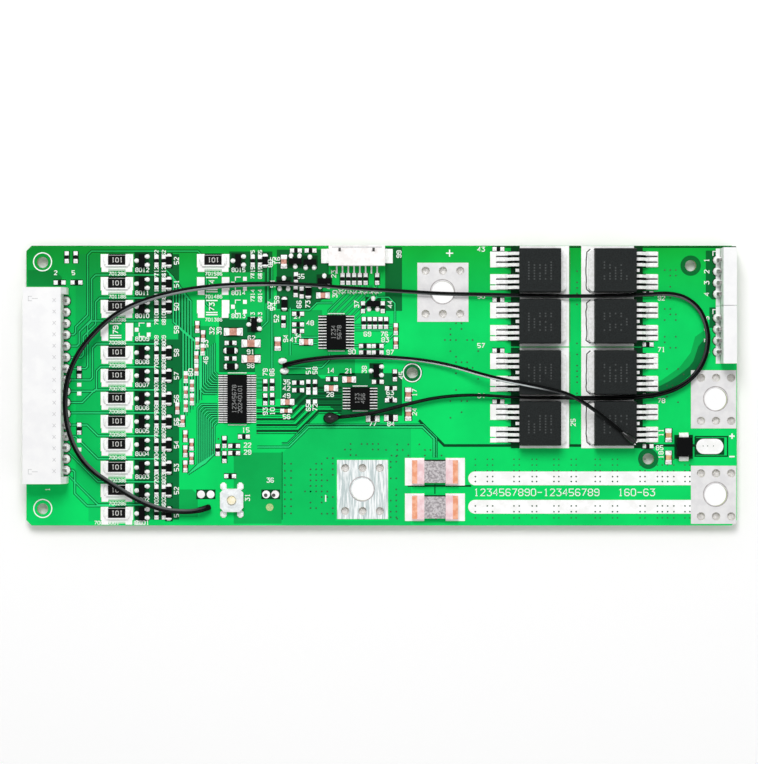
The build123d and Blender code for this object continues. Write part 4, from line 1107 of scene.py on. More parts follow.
@dataclass
class Legend:
    """Off-white print, rings, outlines and plain numbers, and the grey marks on the chips."""

    line: float = 0.2
    rings: Flat = (-76.35, 27.86, -76.3, -27.68, 6.88, 2.88)
    ring: Point2 = (1.9, 2.15)
    rows: int = 12
    first_row_y: float = 28.1
    row_pitch: float = 5.175
    second_column: tuple[float, int] = (21.67, 3)
    bare_row: int = 3
    signs: tuple[tuple[str, float, float, float, bool, float], ...] = (
        ("+", 15.3, 29.8, 2.4, False, 0.12), ("-", -12.6, -25.4, 2.3, True, 0.11),
        ("1234567890-123456789", 34.9, -24.05, 1.5, False, 0.13), ("160-63", 57.4, -24.05, 1.5, False, 0.13),
        ("70018001", -61.9, -30.9, 0.75, False, 0.2), ("6001", -54.4, -30.9, 0.75, False, 0.2),
        ("1", -75.2, -23.4, 0.9, True, 0.2), ("+", 78.9, -11.4, 1.8, False, 0.2),
        ("-", 78.9, -16.0, 1.8, False, 0.2))
    level: Flat = (
        -18.9, 15.6, -18.9, 11.2, -19.8, 10.3, -16.1, 14.1, -18.2, 24.6, -29.3, 10.7, -3.2, 11.6, 0.6, 11.6,
        0.8, 10.3, -6.7, 7.6, 1.9, 7.5, -11.5, 3.4, -7.4, 3.3, -11.6, -2.0, -21.4, 0.8, -21.4, -0.6, -21.4, -2.3,
        -21.4, -7.0, 1.9, -1.6, 1.9, -3.0, -2.0, -8.6, 2.1, -8.6, -29.5, 7.6, -29.5, 4.5, -30.6, -10.0,
        -30.2, -13.4, -30.2, -15.0, -25.1, -21.3, 22.4, 30.7, 22.4, 20.1, 22.4, 9.0, 22.4, -2.3, 63.0, 8.1,
        63.0, -3.4, 62.6, -14.0, 63.0, 19.7)
    upright: Flat = (
        3.9, 29.6, -23.4, 28.1, -10.8, 25.1, -10.5, 20.6, -5.6, 18.3, 1.9, 18.3, -16.5, 3.4, -15.0, 3.4,
        -16.5, -4.9, -15.0, -4.9, -26.2, 3.0, -24.7, 3.0, -26.2, -5.8, -24.6, -5.8, 7.4, -1.6, 7.4, -5.9,
        -30.2, -25.2, -3.9, 3.6, 4.4, 2.3, -23.7, 15.1, -23.6, 19.3, -18.6, 18.3, -16.6, 18.3, -25.1, 27.5,
        -25.1, 18.1, -21.6, 10.6, 62.9, -10.6, 62.9, -15.6, 43.1, -8.3, -38.2, 12.3, -36.6, 12.3, -39.6, 5.7,
        -39.6, 9.4, -43.0, 3.0, -45.4, -8.4)
    chip_edges: tuple[Point3, ...] = ((-32.5, 2.85, 4.2), (-32.5, -8.85, 4.2), (-10.2, 16.2, 3.8),
                                      (-10.2, 7.8, 3.8), (-4.85, -0.1, 3.4), (-4.85, -5.7, 3.4))
    chip_texts: tuple[tuple[str, str, str], ...] = (
        ("monitor_chip_body", "12345678", "20240101"), ("control_chip_body", "1234", "5678"),
        ("driver_chip_body", "123", "456"))
    pin_rows: tuple[tuple[float, int], ...] = ((28.2, 1), (15.2, 5))
    pin_pitch: float = 2.54

    def __post_init__(self) -> None:
        """Start one sheet for the ink and one for the marks on the chips."""
        self.ink = Sheet("legend_print", INK, "laminate")
        self.faint = Sheet("chip_marks", CHIP_MARK, "mould_compound")

    def write(self, text: str, x: float, y: float, height: float = 0.85, upright: bool = False,
              weight: float = 0.2) -> None:
        """Print one number round its middle."""
        Numerals.write(self.ink, Stroke(text, x, y, height, upright), Layer.INK.z, weight)

    def cell_rows(self) -> None:
        """Numbers beside the parts of each cell channel."""
        column, depth = self.second_column
        for n in range(self.rows):
            y = self.first_row_y - self.row_pitch * n
            for shift in [0.0, column] if n < depth else [0.0]:
                number = f"{15 - n if shift else self.rows - n:02d}"
                self.write("80" + number, -53.9 + shift, y - 2.05)
                self.write("5" + number[-1], -46.2 + shift, y, 0.95, True)
                small = (("7", -50.7 + shift), ("6", -49.05 + shift))
                if n < self.rows - 1:
                    for kind, x in small:
                        self.write(kind + number, x, y - 2.35, 0.8, True)
                    self.write("70" + number + "86", -59.5 + shift, y - 2.9, 0.7)
                for kind, x in small[::-1]:
                    self.write(kind + number[-1], x, y + 1.75, 0.75, True)
                if n == self.bare_row or shift and n:
                    self.bare_place(shift, y, "7" + number[-1])

    def bare_place(self, shift: float, y: float, number: str) -> None:
        """Print what shows where a row's resistor and transistor are left off.

        Args:
            shift: Place of the column of rows.
            y: The row.
            number: Number printed in the resistor's place.
        """
        for side in (-1, 1):
            x = -54.6 + shift
            self.ink.ribbon([(x, y + side * 0.7), (x, y + side * 1.5), (x + 1.2, y + side * 1.5)], self.line,
                            Layer.INK.z)
        self.write(number, -59.9 + shift, y, 1.05, True)
        for side in (1.4, -1.3, -1.8):
            self.ink.rectangle(-59.9 + shift, y + side, 2.6, 0.28, Layer.INK.z)

    def marks(self) -> None:
        """Print rings, signs, chip outlines and the marks of the right headers."""
        for x, y in pairs(self.rings):
            self.ink.ring(x, y, *self.ring, Layer.INK.z)
        for text, x, y, height, upright, weight in self.signs:
            self.write(text, x, y, height, upright, weight)
        for x, y, width in self.chip_edges:
            self.ink.rectangle(x, y, width, self.line, Layer.INK.z)
        for node, *texts in self.chip_texts:
            low, high = node_box(node)
            for text, shift in zip(texts, (-0.65, 0.65)):
                Numerals.write(self.faint, Stroke(text, (low[0] + high[0]) / 2 + shift, (low[1] + high[1]) / 2,
                                                  upright=True), high[2] + PRINT, 0.14)
        for y in (30.2, 17.1):
            self.ink.ribbon([(74.6, y - 1.0), (74.6, y), (75.6, y)], self.line, Layer.INK.z)
        for n in range(4):
            for y, number in self.pin_rows:
                self.write(str(n + number), 73.2, y - self.pin_pitch * n, 1.0, True)

    def numbers(self) -> None:
        """Print the numbers beside the loose parts and the socket's contacts."""
        for text, x in (("2", -73.4), ("5", -69.4)):
            self.write(text, x, 25.4, 0.9)
        count = 10
        for flat, upright in ((self.level, False), (self.upright, True)):
            for x, y in pairs(flat):
                count += 7
                self.write(str(count % 90 + 10), x, y, 0.95, upright)
        for n in range(8):
            self.write(str(20 + n), -9.2 + 1.25 * n, 21.3, upright=n % 2 == 0)

    def build(self) -> None:
        """Print everything."""
        self.cell_rows()
        self.marks()
        self.numbers()
        for sheet in (self.ink, self.faint):
            sheet.build()


@dataclass
class ChipGroup:
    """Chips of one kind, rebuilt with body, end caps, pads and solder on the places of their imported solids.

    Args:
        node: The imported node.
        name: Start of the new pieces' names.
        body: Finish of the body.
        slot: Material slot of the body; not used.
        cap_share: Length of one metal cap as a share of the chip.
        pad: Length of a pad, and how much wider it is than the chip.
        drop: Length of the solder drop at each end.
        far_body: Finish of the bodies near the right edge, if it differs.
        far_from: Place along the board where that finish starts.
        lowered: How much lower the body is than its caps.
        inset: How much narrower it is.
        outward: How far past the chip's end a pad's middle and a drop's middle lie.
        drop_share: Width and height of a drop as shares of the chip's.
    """

    node: str
    name: str
    body: Finish
    slot: str
    cap_share: float = 0.24
    pad: Point2 = (0.95, 0.12)
    drop: float = 0.8
    far_body: Finish | None = None
    far_from: float = 60.0
    lowered: float = 0.05
    inset: float = 0.04
    outward: Point2 = (0.05, 0.04)
    drop_share: Point2 = (0.98, 1.5)

    def build(self) -> None:
        """Make body, caps, pads and solder."""
        groups: dict[Point3, list[Spot]] = {}
        pads = Sheet(self.name + "_pads", TINNED, "tinned_copper")
        for low, high in solids(self.node):
            size, middle = high - low, (low + high) / 2
            upright = size.y > size.x
            long, wide = (size.y, size.x) if upright else (size.x, size.y)
            key = (round(long, 2), round(wide, 2), round(size.z, 2))
            groups.setdefault(key, []).append(Spot(middle.x, middle.y, low.z, QUARTER if upright else 0.0))
            for side in (-1, 1):
                reach = side * (long / 2 + self.outward[0])
                at = (middle.x, middle.y + reach) if upright else (middle.x + reach, middle.y)
                box = (wide + self.pad[1], self.pad[0])
                pads.rectangle(*at, *(box if upright else box[::-1]), Layer.PAD.z)
        bodies, far_bodies, caps, drops = [], [], [], []
        for (long, wide, high), spots in groups.items():
            cap, tall = long * self.cap_share, high - self.lowered
            shape = BlockShape((long - 2 * cap, wide - self.inset, tall), (0, 0, tall / 2))
            far = [spot for spot in spots if self.far_body and spot.x > self.far_from]
            bodies.append(([spot for spot in spots if spot not in far], shape))
            far_bodies.append((far, shape))
            drop = (self.drop, wide * self.drop_share[0], high * self.drop_share[1])
            for side in (-1, 1):
                caps.append((spots, BlockShape((cap, wide, high), (side * (long - cap) / 2, 0, high / 2))))
                drops.append((spots, BlockShape(drop, (side * (long / 2 + self.outward[1]), 0, 0.0), Form.DROP)))
        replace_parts(blocks(self.name + "_bodies", bodies, self.body, ROUND_EDGE), self.node)
        blocks(self.name + "_caps", caps, LEAD_TIN, ROUND_EDGE)
        blocks(self.name + "_solder", drops, SOLDER)
        pads.build()
        if self.far_body:
            blocks(self.name + "_far_bodies", far_bodies, self.far_body, ROUND_EDGE)


@dataclass
class Clearances:
    """Dark copper-free margins round the pads of small parts, made darker as painted shade, painted shade under the
    chips' leads, and the pads under those leads.
    """

    nodes: dict[str, Point2]
    fine_leads: dict[str, float]
    lift: float = 0.012
    shade: Point2 = (0.5, 0.3)
    toe: float = 0.3
    share: float = 0.95

    def build(self) -> None:
        """Lay the margins, the painted shade under fine leads and the pads under them."""
        margins = Sheet("pad_clearances_and_shade", CLEARANCE, "laminate")
        shades = Sheet("fine_lead_shades", LEAD_SHADE, "laminate")
        pads = Sheet("fine_lead_pads", TINNED, "tinned_copper")
        for node, (ahead, aside) in self.nodes.items():
            for low, high in solids(node):
                size, middle = high - low, (low + high) / 2
                wide, deep = (ahead, aside) if size.x > size.y else (aside, ahead)
                # Partly a real copper-free clearance, partly painted shade round the part
                margins.rectangle(middle.x, middle.y, size.x + 2 * wide, size.y + 2 * deep,
                                  Layer.BARE.z + self.lift)
        for node, length in self.fine_leads.items():
            boxes = solids(node)
            left, right = min(low.x for low, _ in boxes), max(high.x for _, high in boxes)
            front, back = min(low.y for low, _ in boxes), max(high.y for _, high in boxes)
            # Painted shade: a dark band under each chip's rows of leads
            shades.rectangle((left + right) / 2, (front + back) / 2, right - left + self.shade[0],
                             back - front + self.shade[1], Layer.VIA.z)
            inward = length / 2 - self.toe
            for low, high in boxes:
                at_left = low.x - left < right - high.x
                x = low.x + inward if at_left else high.x - inward
                pads.rectangle(x, (low.y + high.y) / 2, length, (high.y - low.y) * self.share, Layer.PAD.z)
        for sheet in (margins, shades, pads):
            sheet.build()


@dataclass
class LegSolder:
    """Solder drops at the feet of the small transistors' leads."""

    bodies: str = "small_transistor_bodies"
    leads: str = "small_transistor_leads"
    name: str = "transistor_lead_solder"
    size: Point3 = (1.2, 1.1, 0.7)
    outward: float = 0.34
    raised: float = 0.07

    def build(self) -> None:
        """Make a drop on every lead, outside the body that it belongs to."""
        middles = [((low + high) / 2, high.x - low.x > high.y - low.y) for low, high in solids(self.bodies)]
        spots = []
        for low, high in solids(self.leads):
            lead = (low + high) / 2
            body, flat = min(middles, key=lambda item: (item[0] - lead).length)
            away = Vector((0, lead.y - body.y)) if flat else Vector((lead.x - body.x, 0))
            shift = away.normalized() * self.outward
            spots.append(Spot(lead.x + shift.x, lead.y + shift.y, low.z, QUARTER if flat else 0.0))
        blocks(self.name, [(spots, BlockShape(self.size, (0, 0, self.raised), Form.DROP))], SOLDER)


@dataclass
class BleedRow:
    """Ceramic bleed resistors: white substrate, black glaze with a plain number, solder at both ends."""

    node: str = "bleed_resistor_bodies"
    glaze: Point3 = (3.9, 2.15, 0.05)
    glaze_shift: float = 0.12
    number: str = "101"
    number_at: Point3 = (0.1, 0.03, -0.95)
    number_weight: float = 0.16
    end: Point3 = (1.1, 2.5, 0.9)
    end_at: Point3 = (2.6, -0.1, -0.55)
    bands: tuple[Point3, ...] = ((1.72, 4.6, 0.66), (2.22, 4.3, 0.16))

    def build(self) -> None:
        """Make glaze, numbers, end solder and the print in front."""
        dress([self.node], ALUMINA)
        dress(["bleed_resistor_caps"], LEAD_TIN)
        digits = Sheet("resistor_numbers", GREY_INK, "thick_film")
        bands = Sheet("second_footprints", INK, "laminate")
        spots = [Spot((low.x + high.x) / 2, (low.y + high.y) / 2 + self.glaze_shift, high.z)
                 for low, high in solids(self.node)]
        ahead, aside, height = self.number_at
        for spot in spots:
            Numerals.write(digits, Stroke(self.number, spot.x + ahead, spot.y + aside, height),
                           spot.z + self.glaze[2] + PRINT, self.number_weight)
            for drop, width, depth in self.bands:
                bands.rectangle(spot.x, spot.y - drop, width, depth, Layer.INK.z)
        x, y, z = self.end_at
        ends = [(spots, BlockShape(self.end, (side * x, y, z), Form.DROP)) for side in (-1, 1)]
        glaze = BlockShape(self.glaze, (0, 0, self.glaze[2] / 2))
        blocks("resistor_glaze", [(spots, glaze)], FILM, 0.02)
        digits.build()
        bands.build()
        blocks("resistor_end_solder", ends, SOLDER)


@dataclass
class PowerStage:
    """Power transistors: lead solder, tab seams in painted shade, case marks, and painted shade on the board between
    the leads and beside the cases.
    """

    rows: Flat = (25.85, 14.4, 2.95, -8.5)
    columns: tuple[tuple[float, int], ...] = ((35.5, 1), (52.4, -1))
    pitch: float = 1.27
    slots: tuple[int, ...] = (-3, -2, -1, 1, 2, 3)
    halves: tuple[int, int] = (-2, 2)
    seat: float = 0.12
    case_shade: Point3 = (5.4, 2.0, 11.2)
    lead_shade: Point3 = (5.95, 2.3, 3.7)
    gap_shade: Point3 = (8.3, 2.9, 0.26)
    foot_pad: Point3 = (9.35, 1.0, 3.4)
    foot_at: float = 9.0
    foot_drop: Point3 = (1.5, 0.85, 0.7)
    mark: tuple[int, int, float] = (5, 7, 0.7)
    mark_first: Point2 = (-2.6, -2.0)
    mark_step: Point2 = (1.25, 0.62)
    mark_size: Point2 = (0.34, 0.36)
    seam_at: Point2 = (6.3, 6.9)

    def __post_init__(self) -> None:
        """Start the sheets, and the draws that scatter the marks and wave the seams."""
        self.marks = Sheet("case_marks", GREY_MARK, "mould_compound")
        self.seams = Sheet("tab_seams", SEAM, "tinned_copper")
        self.pads = Sheet("foot_pads", TINNED, "tinned_copper")
        self.shades = Sheet("lead_shades", LEAD_SHADE, "laminate")
        self.margins = Sheet("case_side_shades", CLEARANCE, "laminate")
        self.draw = random.Random(SEED)

    def feet(self, x: float, y: float, side: int) -> list[Spot]:
        """Lay the painted shade and the pads at one transistor's leads.

        Args:
            x: Case middle along the board.
            y: Case middle across the board.
            side: Side of the tab.

        Returns:
            The places of the feet.
        """
        seat = TOP + self.seat
        ahead, width, height = self.case_shade
        # Painted shade: a dark strip beside the case, under its leads
        self.margins.rectangle(x - side * ahead, y, width, height, seat + 0.003)
        # Painted shade under each group of three leads
        for half in self.halves:
            ahead, width, height = self.lead_shade
            self.shades.rectangle(x - side * ahead, y + half * self.pitch, width, height, seat + 0.006)
        for half in self.halves:
            ahead, width, height = self.foot_pad
            self.pads.rectangle(x - side * ahead, y + half * self.pitch, width, height, seat + 0.006)
            # Painted shade: thin dark lines between neighbouring leads
            ahead, width, height = self.gap_shade
            for gap in (-self.pitch / 2, self.pitch / 2):
                self.shades.rectangle(x - side * ahead, y + half * self.pitch + gap, width, height, seat + 0.009)
        return [Spot(x - side * self.foot_at, y + slot * self.pitch, seat) for slot in self.slots]

    def case(self, x: float, y: float, side: int, top: float) -> None:
        """Mark one case, and draw the seam in front of its tab.

        Args:
            x: Case middle along the board.
            y: Case middle across the board.
            side: Side of the tab.
            top: Height of the marks.
        """
        columns, rows, share = self.mark
        for column in range(columns):
            for step in range(rows):
                if self.draw.random() < share:
                    self.marks.rectangle(x + self.mark_first[0] + self.mark_step[0] * column,
                                         y + self.mark_first[1] + self.mark_step[1] * step, *self.mark_size, top)
        # Painted shade: a dark seam along the tab's edge
        height = TOP + self.seat + 0.02
        wavy, straight = self.seam_at
        if side > 0:
            self.seams.ribbon([(x + straight, y - 4.6), (x + straight, y + 4.6)], 0.12, height)
            return
        seam = x - wavy
        points = [(seam + self.draw.uniform(-0.12, 0.12), y - 4.2 + 0.93 * n) for n in range(10)]
        self.seams.ribbon([(seam + 0.9, y - 4.9), *points, (seam + 0.9, y + 4.9)], 0.26, height)

    def build(self) -> None:
        """Dress cases and leads and add their solder."""
        names = [f"{side}_{n}" for side in ("left", "right") for n in range(1, 5)]
        dress([f"power_case_{name}" for name in names], MOULDING)
        dress([f"power_leads_{name}" for name in names], LEAD_TIN)
        top = node_box("power_case_left_1")[1][2] + PRINT
        spots = []
        for x, side in self.columns:
            for y in self.rows:
                spots += self.feet(x, y, side)
                self.case(x, y, side, top)
        drop = BlockShape(self.foot_drop, (0, 0, 0.1), Form.DROP)
        blocks("foot_solder", [(spots, drop)], SOLDER)
        for sheet in (self.marks, self.seams, self.pads, self.shades, self.margins):
            sheet.build()


@dataclass
class Shunts:
    """Two shunt resistors: mottled alloy between copper blocks that are tinted at their outer ends."""

    tint_share: float = 0.42
    tint_inset: float = 0.1
    shade: Point3 = (0.12, 0.3, 0.14)

    def build(self) -> None:
        """Dress the parts, tint the outer ends and shade the rear edges."""
        dress(["shunt_elements"], ALLOY)
        dress(["shunt_blocks"], COPPER)
        tints = Sheet("shunt_tints", HOT_COPPER, "shunt_copper")
        edges = Sheet("shunt_shades", LEAD_SHADE, "laminate")
        lowest, highest = node_box("shunt_blocks")
        middle = (lowest[0] + highest[0]) / 2
        for low, high in solids("shunt_blocks"):
            width = (high.x - low.x) * self.tint_share
            outer = low.x + width / 2 if high.x < middle else high.x - width / 2
            tints.rectangle(outer, (low.y + high.y) / 2, width, high.y - low.y - self.tint_inset, high.z + PRINT)
        behind, height, level = self.shade
        for low, high in solids("shunt_elements"):
            edges.rectangle((low.x + high.x) / 2, high.y + behind, high.x - low.x, height, TOP + level)
        tints.build()
        edges.build()


@dataclass
class Terminals:
    """Bare lands and strips, the solder dishes in their small holes and painted shade round the rims of their screw
    holes.
    """

    lands: tuple[Point3, ...] = ((13.8, 21.0, 3.9), (-4.3, -23.4, 3.9), (75.3, -3.1, 3.4), (75.3, -24.6, 3.4))
    row: float = 4.85
    dish: Table = ((1.15, 0.12), (1.035, -0.2), (0.6325, -0.7), (0.0, -0.8))
    rim: Point2 = (2.62, 2.86)
    rim_shade_shift: Point2 = (-0.1, 0.12)
    bores: Table = ((-26.1, -24.7), (-24.3, -24.7))
    bore: float = 0.42
    bare_spot: Point3 = (-25.2, -27.4, 0.85)

    def build(self) -> None:
        """Dress the lands and strips, and fill their small holes."""
        dress(["current_strips", "transistor_pads", "bare_pads", "solder_spots"], TINNED)
        dress(["positive_battery_land", "positive_output_land", "negative_output_land"], LAND_TIN)
        dress(["negative_battery_land"], SCRAPED)
        dishes = Sheet("hole_plating", HOLE_PLATING, "tinned_copper")
        rim_shades = Sheet("screw_hole_rim_shades", HOLE_RIM_SHADE, "tinned_copper")
        profile = [(radius, TOP + height) for radius, height in self.dish]
        for x, y, pitch in self.lands:
            for n in (-1, 0, 1):
                for side in (-1, 1):
                    dishes.dish(x + n * pitch, y + side * self.row, profile)
            # Painted shade round the screw hole, shifted toward the rear left
            rim_shades.ring(x + self.rim_shade_shift[0], y + self.rim_shade_shift[1], *self.rim, Layer.LAND.z)
        # Painted shade: a dark disc for the inside of each small bore
        bores = Sheet("spot_bores", SEAM, "tinned_copper")
        for x, y in self.bores:
            bores.disc(x, y, self.bore, Layer.LAND.z)
        worn = Sheet("bare_spot", BARE_CORE, "laminate")
        worn.disc(*self.bare_spot, Layer.PAD.z)
        for sheet in (dishes, rim_shades, bores, worn):
            sheet.build()


@dataclass
class Headers:
    """White housings with their moulded marks, the pins with their solder, painted shade round the solder, and the
    signal socket's slots and lip in painted shade.
    """

    pins: tuple[str, ...] = ("cell_header_pins", "upper_header_pins", "lower_header_pins")
    pin_count: int = 16
    first_pin_y: float = 19.05
    pitch: float = 2.54
    arrows: Point2 = (19.4, -19.2)
    mould_line: float = 0.14
    mould_height: float = 0.004
    leg: float = 0.95
    dome: Point3 = (2.1, 2.1, 1.5)
    dome_middle: float = 0.35
    shade: Point2 = (0.95, 1.16)
    pin_end: Point3 = (0.1, 0.42, 1.09)
    foot: Point2 = (0.95, 0.2)
    slots: Point2 = (-9.4, -1.8)
    slot: Point3 = (30.5, 0.55, 0.95)
    lip_shade: tuple[float, float, float, float] = (-5.55, 31.0, 11.2, 0.25)

    def mould_marks(self, sheet: Sheet) -> None:
        """Draw the arrows and crosses on the cell header's top.

        Args:
            sheet: The sheet that takes them.
        """
        top = node_box("cell_header_housing")[1][2] + self.mould_height
        for y in self.arrows:
            sheet.ribbon([(-77.9, y + 0.5), (-78.7, y + 0.5), (-78.7, y - 0.5), (-77.9, y - 0.5)],
                         self.mould_line, top)
            sheet.ribbon([(-77.9, y), (-76.6, y)], self.mould_line, top)
        for n in range(self.pin_count):
            y = self.first_pin_y - self.pitch * n
            for side in (0.4, -0.4):
                sheet.ribbon([(-73.3, y + side), (-72.6, y - side)], self.mould_line, top)

    def legs(self) -> list[Spot]:
        """Find where the upright legs of the bent pins stand.

        Returns:
            One place for each pin.
        """
        spots = []
        for node in self.pins:
            for low, high in solids(node):
                x = high.x - self.leg if node.startswith("cell") else low.x + self.leg
                spots.append(Spot(x, (low.y + high.y) / 2, TOP))
        return spots

    def joints(self, shades: Sheet, ends: Sheet) -> None:
        """Make the solder round the legs, its shade and the pins' ends in it.

        Args:
            shades: The sheet that takes the shades.
            ends: The sheet that takes the pins' ends.
        """
        spots = self.legs()
        shift, radius, height = self.pin_end
        for spot in spots:
            shades.ring(spot.x, spot.y, *self.shade, Layer.LAND.z, 20)
            if spot.x > 0:
                # Painted shade: a dark grey disc of pin tin on each right header's solder dome
                ends.disc(spot.x + shift, spot.y, radius, TOP + height)
                shades.ribbon([(spot.x + x, spot.y + y) for x, y in
                               ((1.05, 0.8), (1.3, 0.35), (1.05, -0.1), (1.3, -0.6))], 0.2, TOP + 0.22)
        blocks("pin_solder", [(spots, BlockShape(self.dome, (0, 0, self.dome_middle), Form.DROP))], SOLDER)

    def build(self) -> None:
        """Dress housings and pins and add marks, feet, solder and slots."""
        dress(["cell_header_housing", "upper_header_housing", "lower_header_housing"], NYLON)
        dress(["signal_socket_body"], SOCKET_NYLON)
        dress(self.pins, PIN_TIN)
        dress(["signal_socket_contacts", "signal_socket_anchors"], LEAD_TIN)
        marks = Sheet("housing_marks", NYLON_SHADE, "nylon")
        self.mould_marks(marks)
        feet = Sheet("header_feet", NYLON, "nylon")
        reach, height = self.foot
        for node in ("upper_header_housing", "lower_header_housing"):
            low, high = node_box(node)
            feet.block((low[0] - reach, low[1], TOP + 0.05), (low[0], high[1], TOP + height))
        # Painted shade: dark rectangles for the insides of the socket's slots
        slots = Sheet("socket_slots", SEAM, "socket_nylon")
        top = node_box("signal_socket_body")[1][2] + PRINT
        for x in self.slots:
            slots.rectangle(x, *self.slot, top)
        # Painted shade: a grey band for the recess along the socket's rear edge
        marks.rectangle(*self.lip_shade, top)
        shades = Sheet("pin_shades", LEAD_SHADE, "laminate")
        ends = Sheet("pin_ends", PIN_TIN, "pin_tin")
        self.joints(shades, ends)
        for sheet in (marks, slots, feet, shades, ends):
            sheet.build()


def skin(mesh: bmesh.types.BMesh, rings: Sequence[Sequence[bmesh.types.BMVert]]) -> None:
    """Join each ring of corners to the next one.

    Args:
        mesh: The mesh that they are in.
        rings: The rings, with the same number of corners in each.
    """
    for a, b in zip(rings, rings[1:]):
        for k in range(len(a)):
            after = (k + 1) % len(a)
            mesh.faces.new((a[k], a[after], b[after], b[k]))


def smooth_mesh(mesh: bmesh.types.BMesh, name: str, finish: Surface) -> bpy.types.Mesh:
    """Turn a closed shape into a smooth mesh whose faces point outwards.

    Args:
        mesh: The shape, which is freed.
        name: Name of the mesh.
        finish: Its finish.

    Returns:
        The mesh.
    """
    bmesh.ops.recalc_face_normals(mesh, faces=mesh.faces)
    data = bpy.data.meshes.new(name)
    mesh.to_mesh(data)
    mesh.free()
    data.materials.append(finish.build())
    for polygon in data.polygons:
        polygon.use_smooth = True
    return data


@dataclass(frozen=True)
class SensorLead:
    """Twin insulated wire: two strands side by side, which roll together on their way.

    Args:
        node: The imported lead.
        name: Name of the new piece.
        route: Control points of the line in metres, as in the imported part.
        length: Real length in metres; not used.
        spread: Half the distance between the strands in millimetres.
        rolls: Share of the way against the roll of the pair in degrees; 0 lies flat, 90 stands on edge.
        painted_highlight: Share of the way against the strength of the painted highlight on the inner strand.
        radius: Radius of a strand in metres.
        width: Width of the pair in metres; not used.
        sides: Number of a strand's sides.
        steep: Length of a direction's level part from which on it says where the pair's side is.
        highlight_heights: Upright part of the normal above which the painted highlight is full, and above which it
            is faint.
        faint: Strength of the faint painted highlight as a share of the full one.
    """

    node: str
    name: str
    route: Sequence[Point3]
    length: float
    spread: float
    rolls: Table
    painted_highlight: Table
    radius: float = 0.29 * MM
    width: float = 1.1 * MM
    sides: int = 10
    steep: float = 0.3
    highlight_heights: Point2 = (0.5, -0.1)
    faint: float = 0.3

    @staticmethod
    def between(table: Table, share: float) -> float:
        """Read a value out of a table, with a soft step between its rows.

        Args:
            table: Shares and values, in order.
            share: The share to read at.

        Returns:
            The value.
        """
        for (a, low), (b, high) in zip(table, table[1:]):
            if share <= b:
                step = (share - a) / (b - a)
                return low + (high - low) * (step * step * (3 - 2 * step))
        return table[-1][1]

    def line(self) -> list[Vector]:
        """Points of the route's smooth line.

        Returns:
            The points in order, closely spaced.
        """
        curve = bpy.data.curves.new(self.name + "_line", "CURVE")
        curve.dimensions = "3D"
        curve.resolution_u = 14
        spline = curve.splines.new("NURBS")
        spline.points.add(len(self.route) - 1)
        for point, place in zip(spline.points, self.route):
            point.co = (*place, 1.0)
        spline.order_u = 3
        spline.use_endpoint_u = True
        carrier = bpy.data.objects.new(self.name + "_line", curve)
        bpy.context.scene.collection.objects.link(carrier)
        graph = bpy.context.evaluated_depsgraph_get()
        mesh = bpy.data.meshes.new_from_object(carrier.evaluated_get(graph), depsgraph=graph)
        points = [vertex.co.copy() for vertex in mesh.vertices]
        bpy.data.objects.remove(carrier)
        bpy.data.curves.remove(curve)
        bpy.data.meshes.remove(mesh)
        return points

    def frames(self, points: Sequence[Vector]) -> list[tuple[float, Vector, Vector]]:
        """Find how the pair lies at each point of its line.

        Args:
            points: The points of the line.

        Returns:
            Share of the way, direction across the pair and direction out of its flat side, for each point.
        """
        total = sum((b - a).length for a, b in zip(points, points[1:]))
        LOG.info("lead %s measures %.1f mm", self.name, total / MM)
        gone, found, side = 0.0, [], Vector((0, 1, 0))
        for n, point in enumerate(points):
            if n:
                gone += (point - points[n - 1]).length
            ahead = (points[min(n + 1, len(points) - 1)] - points[max(n - 1, 0)]).normalized()
            level = UP.cross(ahead)
            if level.length > self.steep:
                side = level.normalized()
            side = (side - ahead * side.dot(ahead)).normalized()
            share = gone / total
            roll = Matrix.Rotation(math.radians(self.between(self.rolls, share)), 3, ahead)
            across = roll @ side
            found.append((share, across, ahead.cross(across)))
        return found

    def build(self, points: Sequence[Vector]) -> bpy.types.Object:
        """Sweep both strands.

        Args:
            points: The points of the line.

        Returns:
            The lead.
        """
        mesh = bmesh.new()
        painted_highlight: list[float] = []
        frames = self.frames(points)
        full, some = self.highlight_heights
        for strand in (-1, 1):
            rings = []
            for point, (share, across, up) in zip(points, frames):
                centre = point + across * strand * self.spread * MM
                rings.append([mesh.verts.new(centre + (across * math.cos(t) + up * math.sin(t)) * self.radius)
                              for t in turns(self.sides)])
                # Painted highlight on the upward side of the inner strand
                strength = self.between(self.painted_highlight, share) if strand < 0 else 0.0
                heights = [across.z * math.cos(t) + up.z * math.sin(t) for t in turns(self.sides)]
                painted_highlight += [strength if z > full else self.faint * strength if z > some else 0.0 for z in heights]
            skin(mesh, rings)
            mesh.faces.new(rings[0][::-1])
            mesh.faces.new(rings[-1])
        data = smooth_mesh(mesh, self.name, SHEATH)
        data.attributes.new(PAINTED_HIGHLIGHT, "FLOAT", "POINT").data.foreach_set("value", painted_highlight)
        piece = settle(bpy.data.objects.new(self.name, data))
        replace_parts(piece, self.node)
        return piece


def metres(route: Sequence[Point3]) -> list[Point3]:
    """Turn a route above the board from millimetres into metres of the frame."""
    return [(x * MM, y * MM, (TOP + z) * MM) for x, y, z in route]


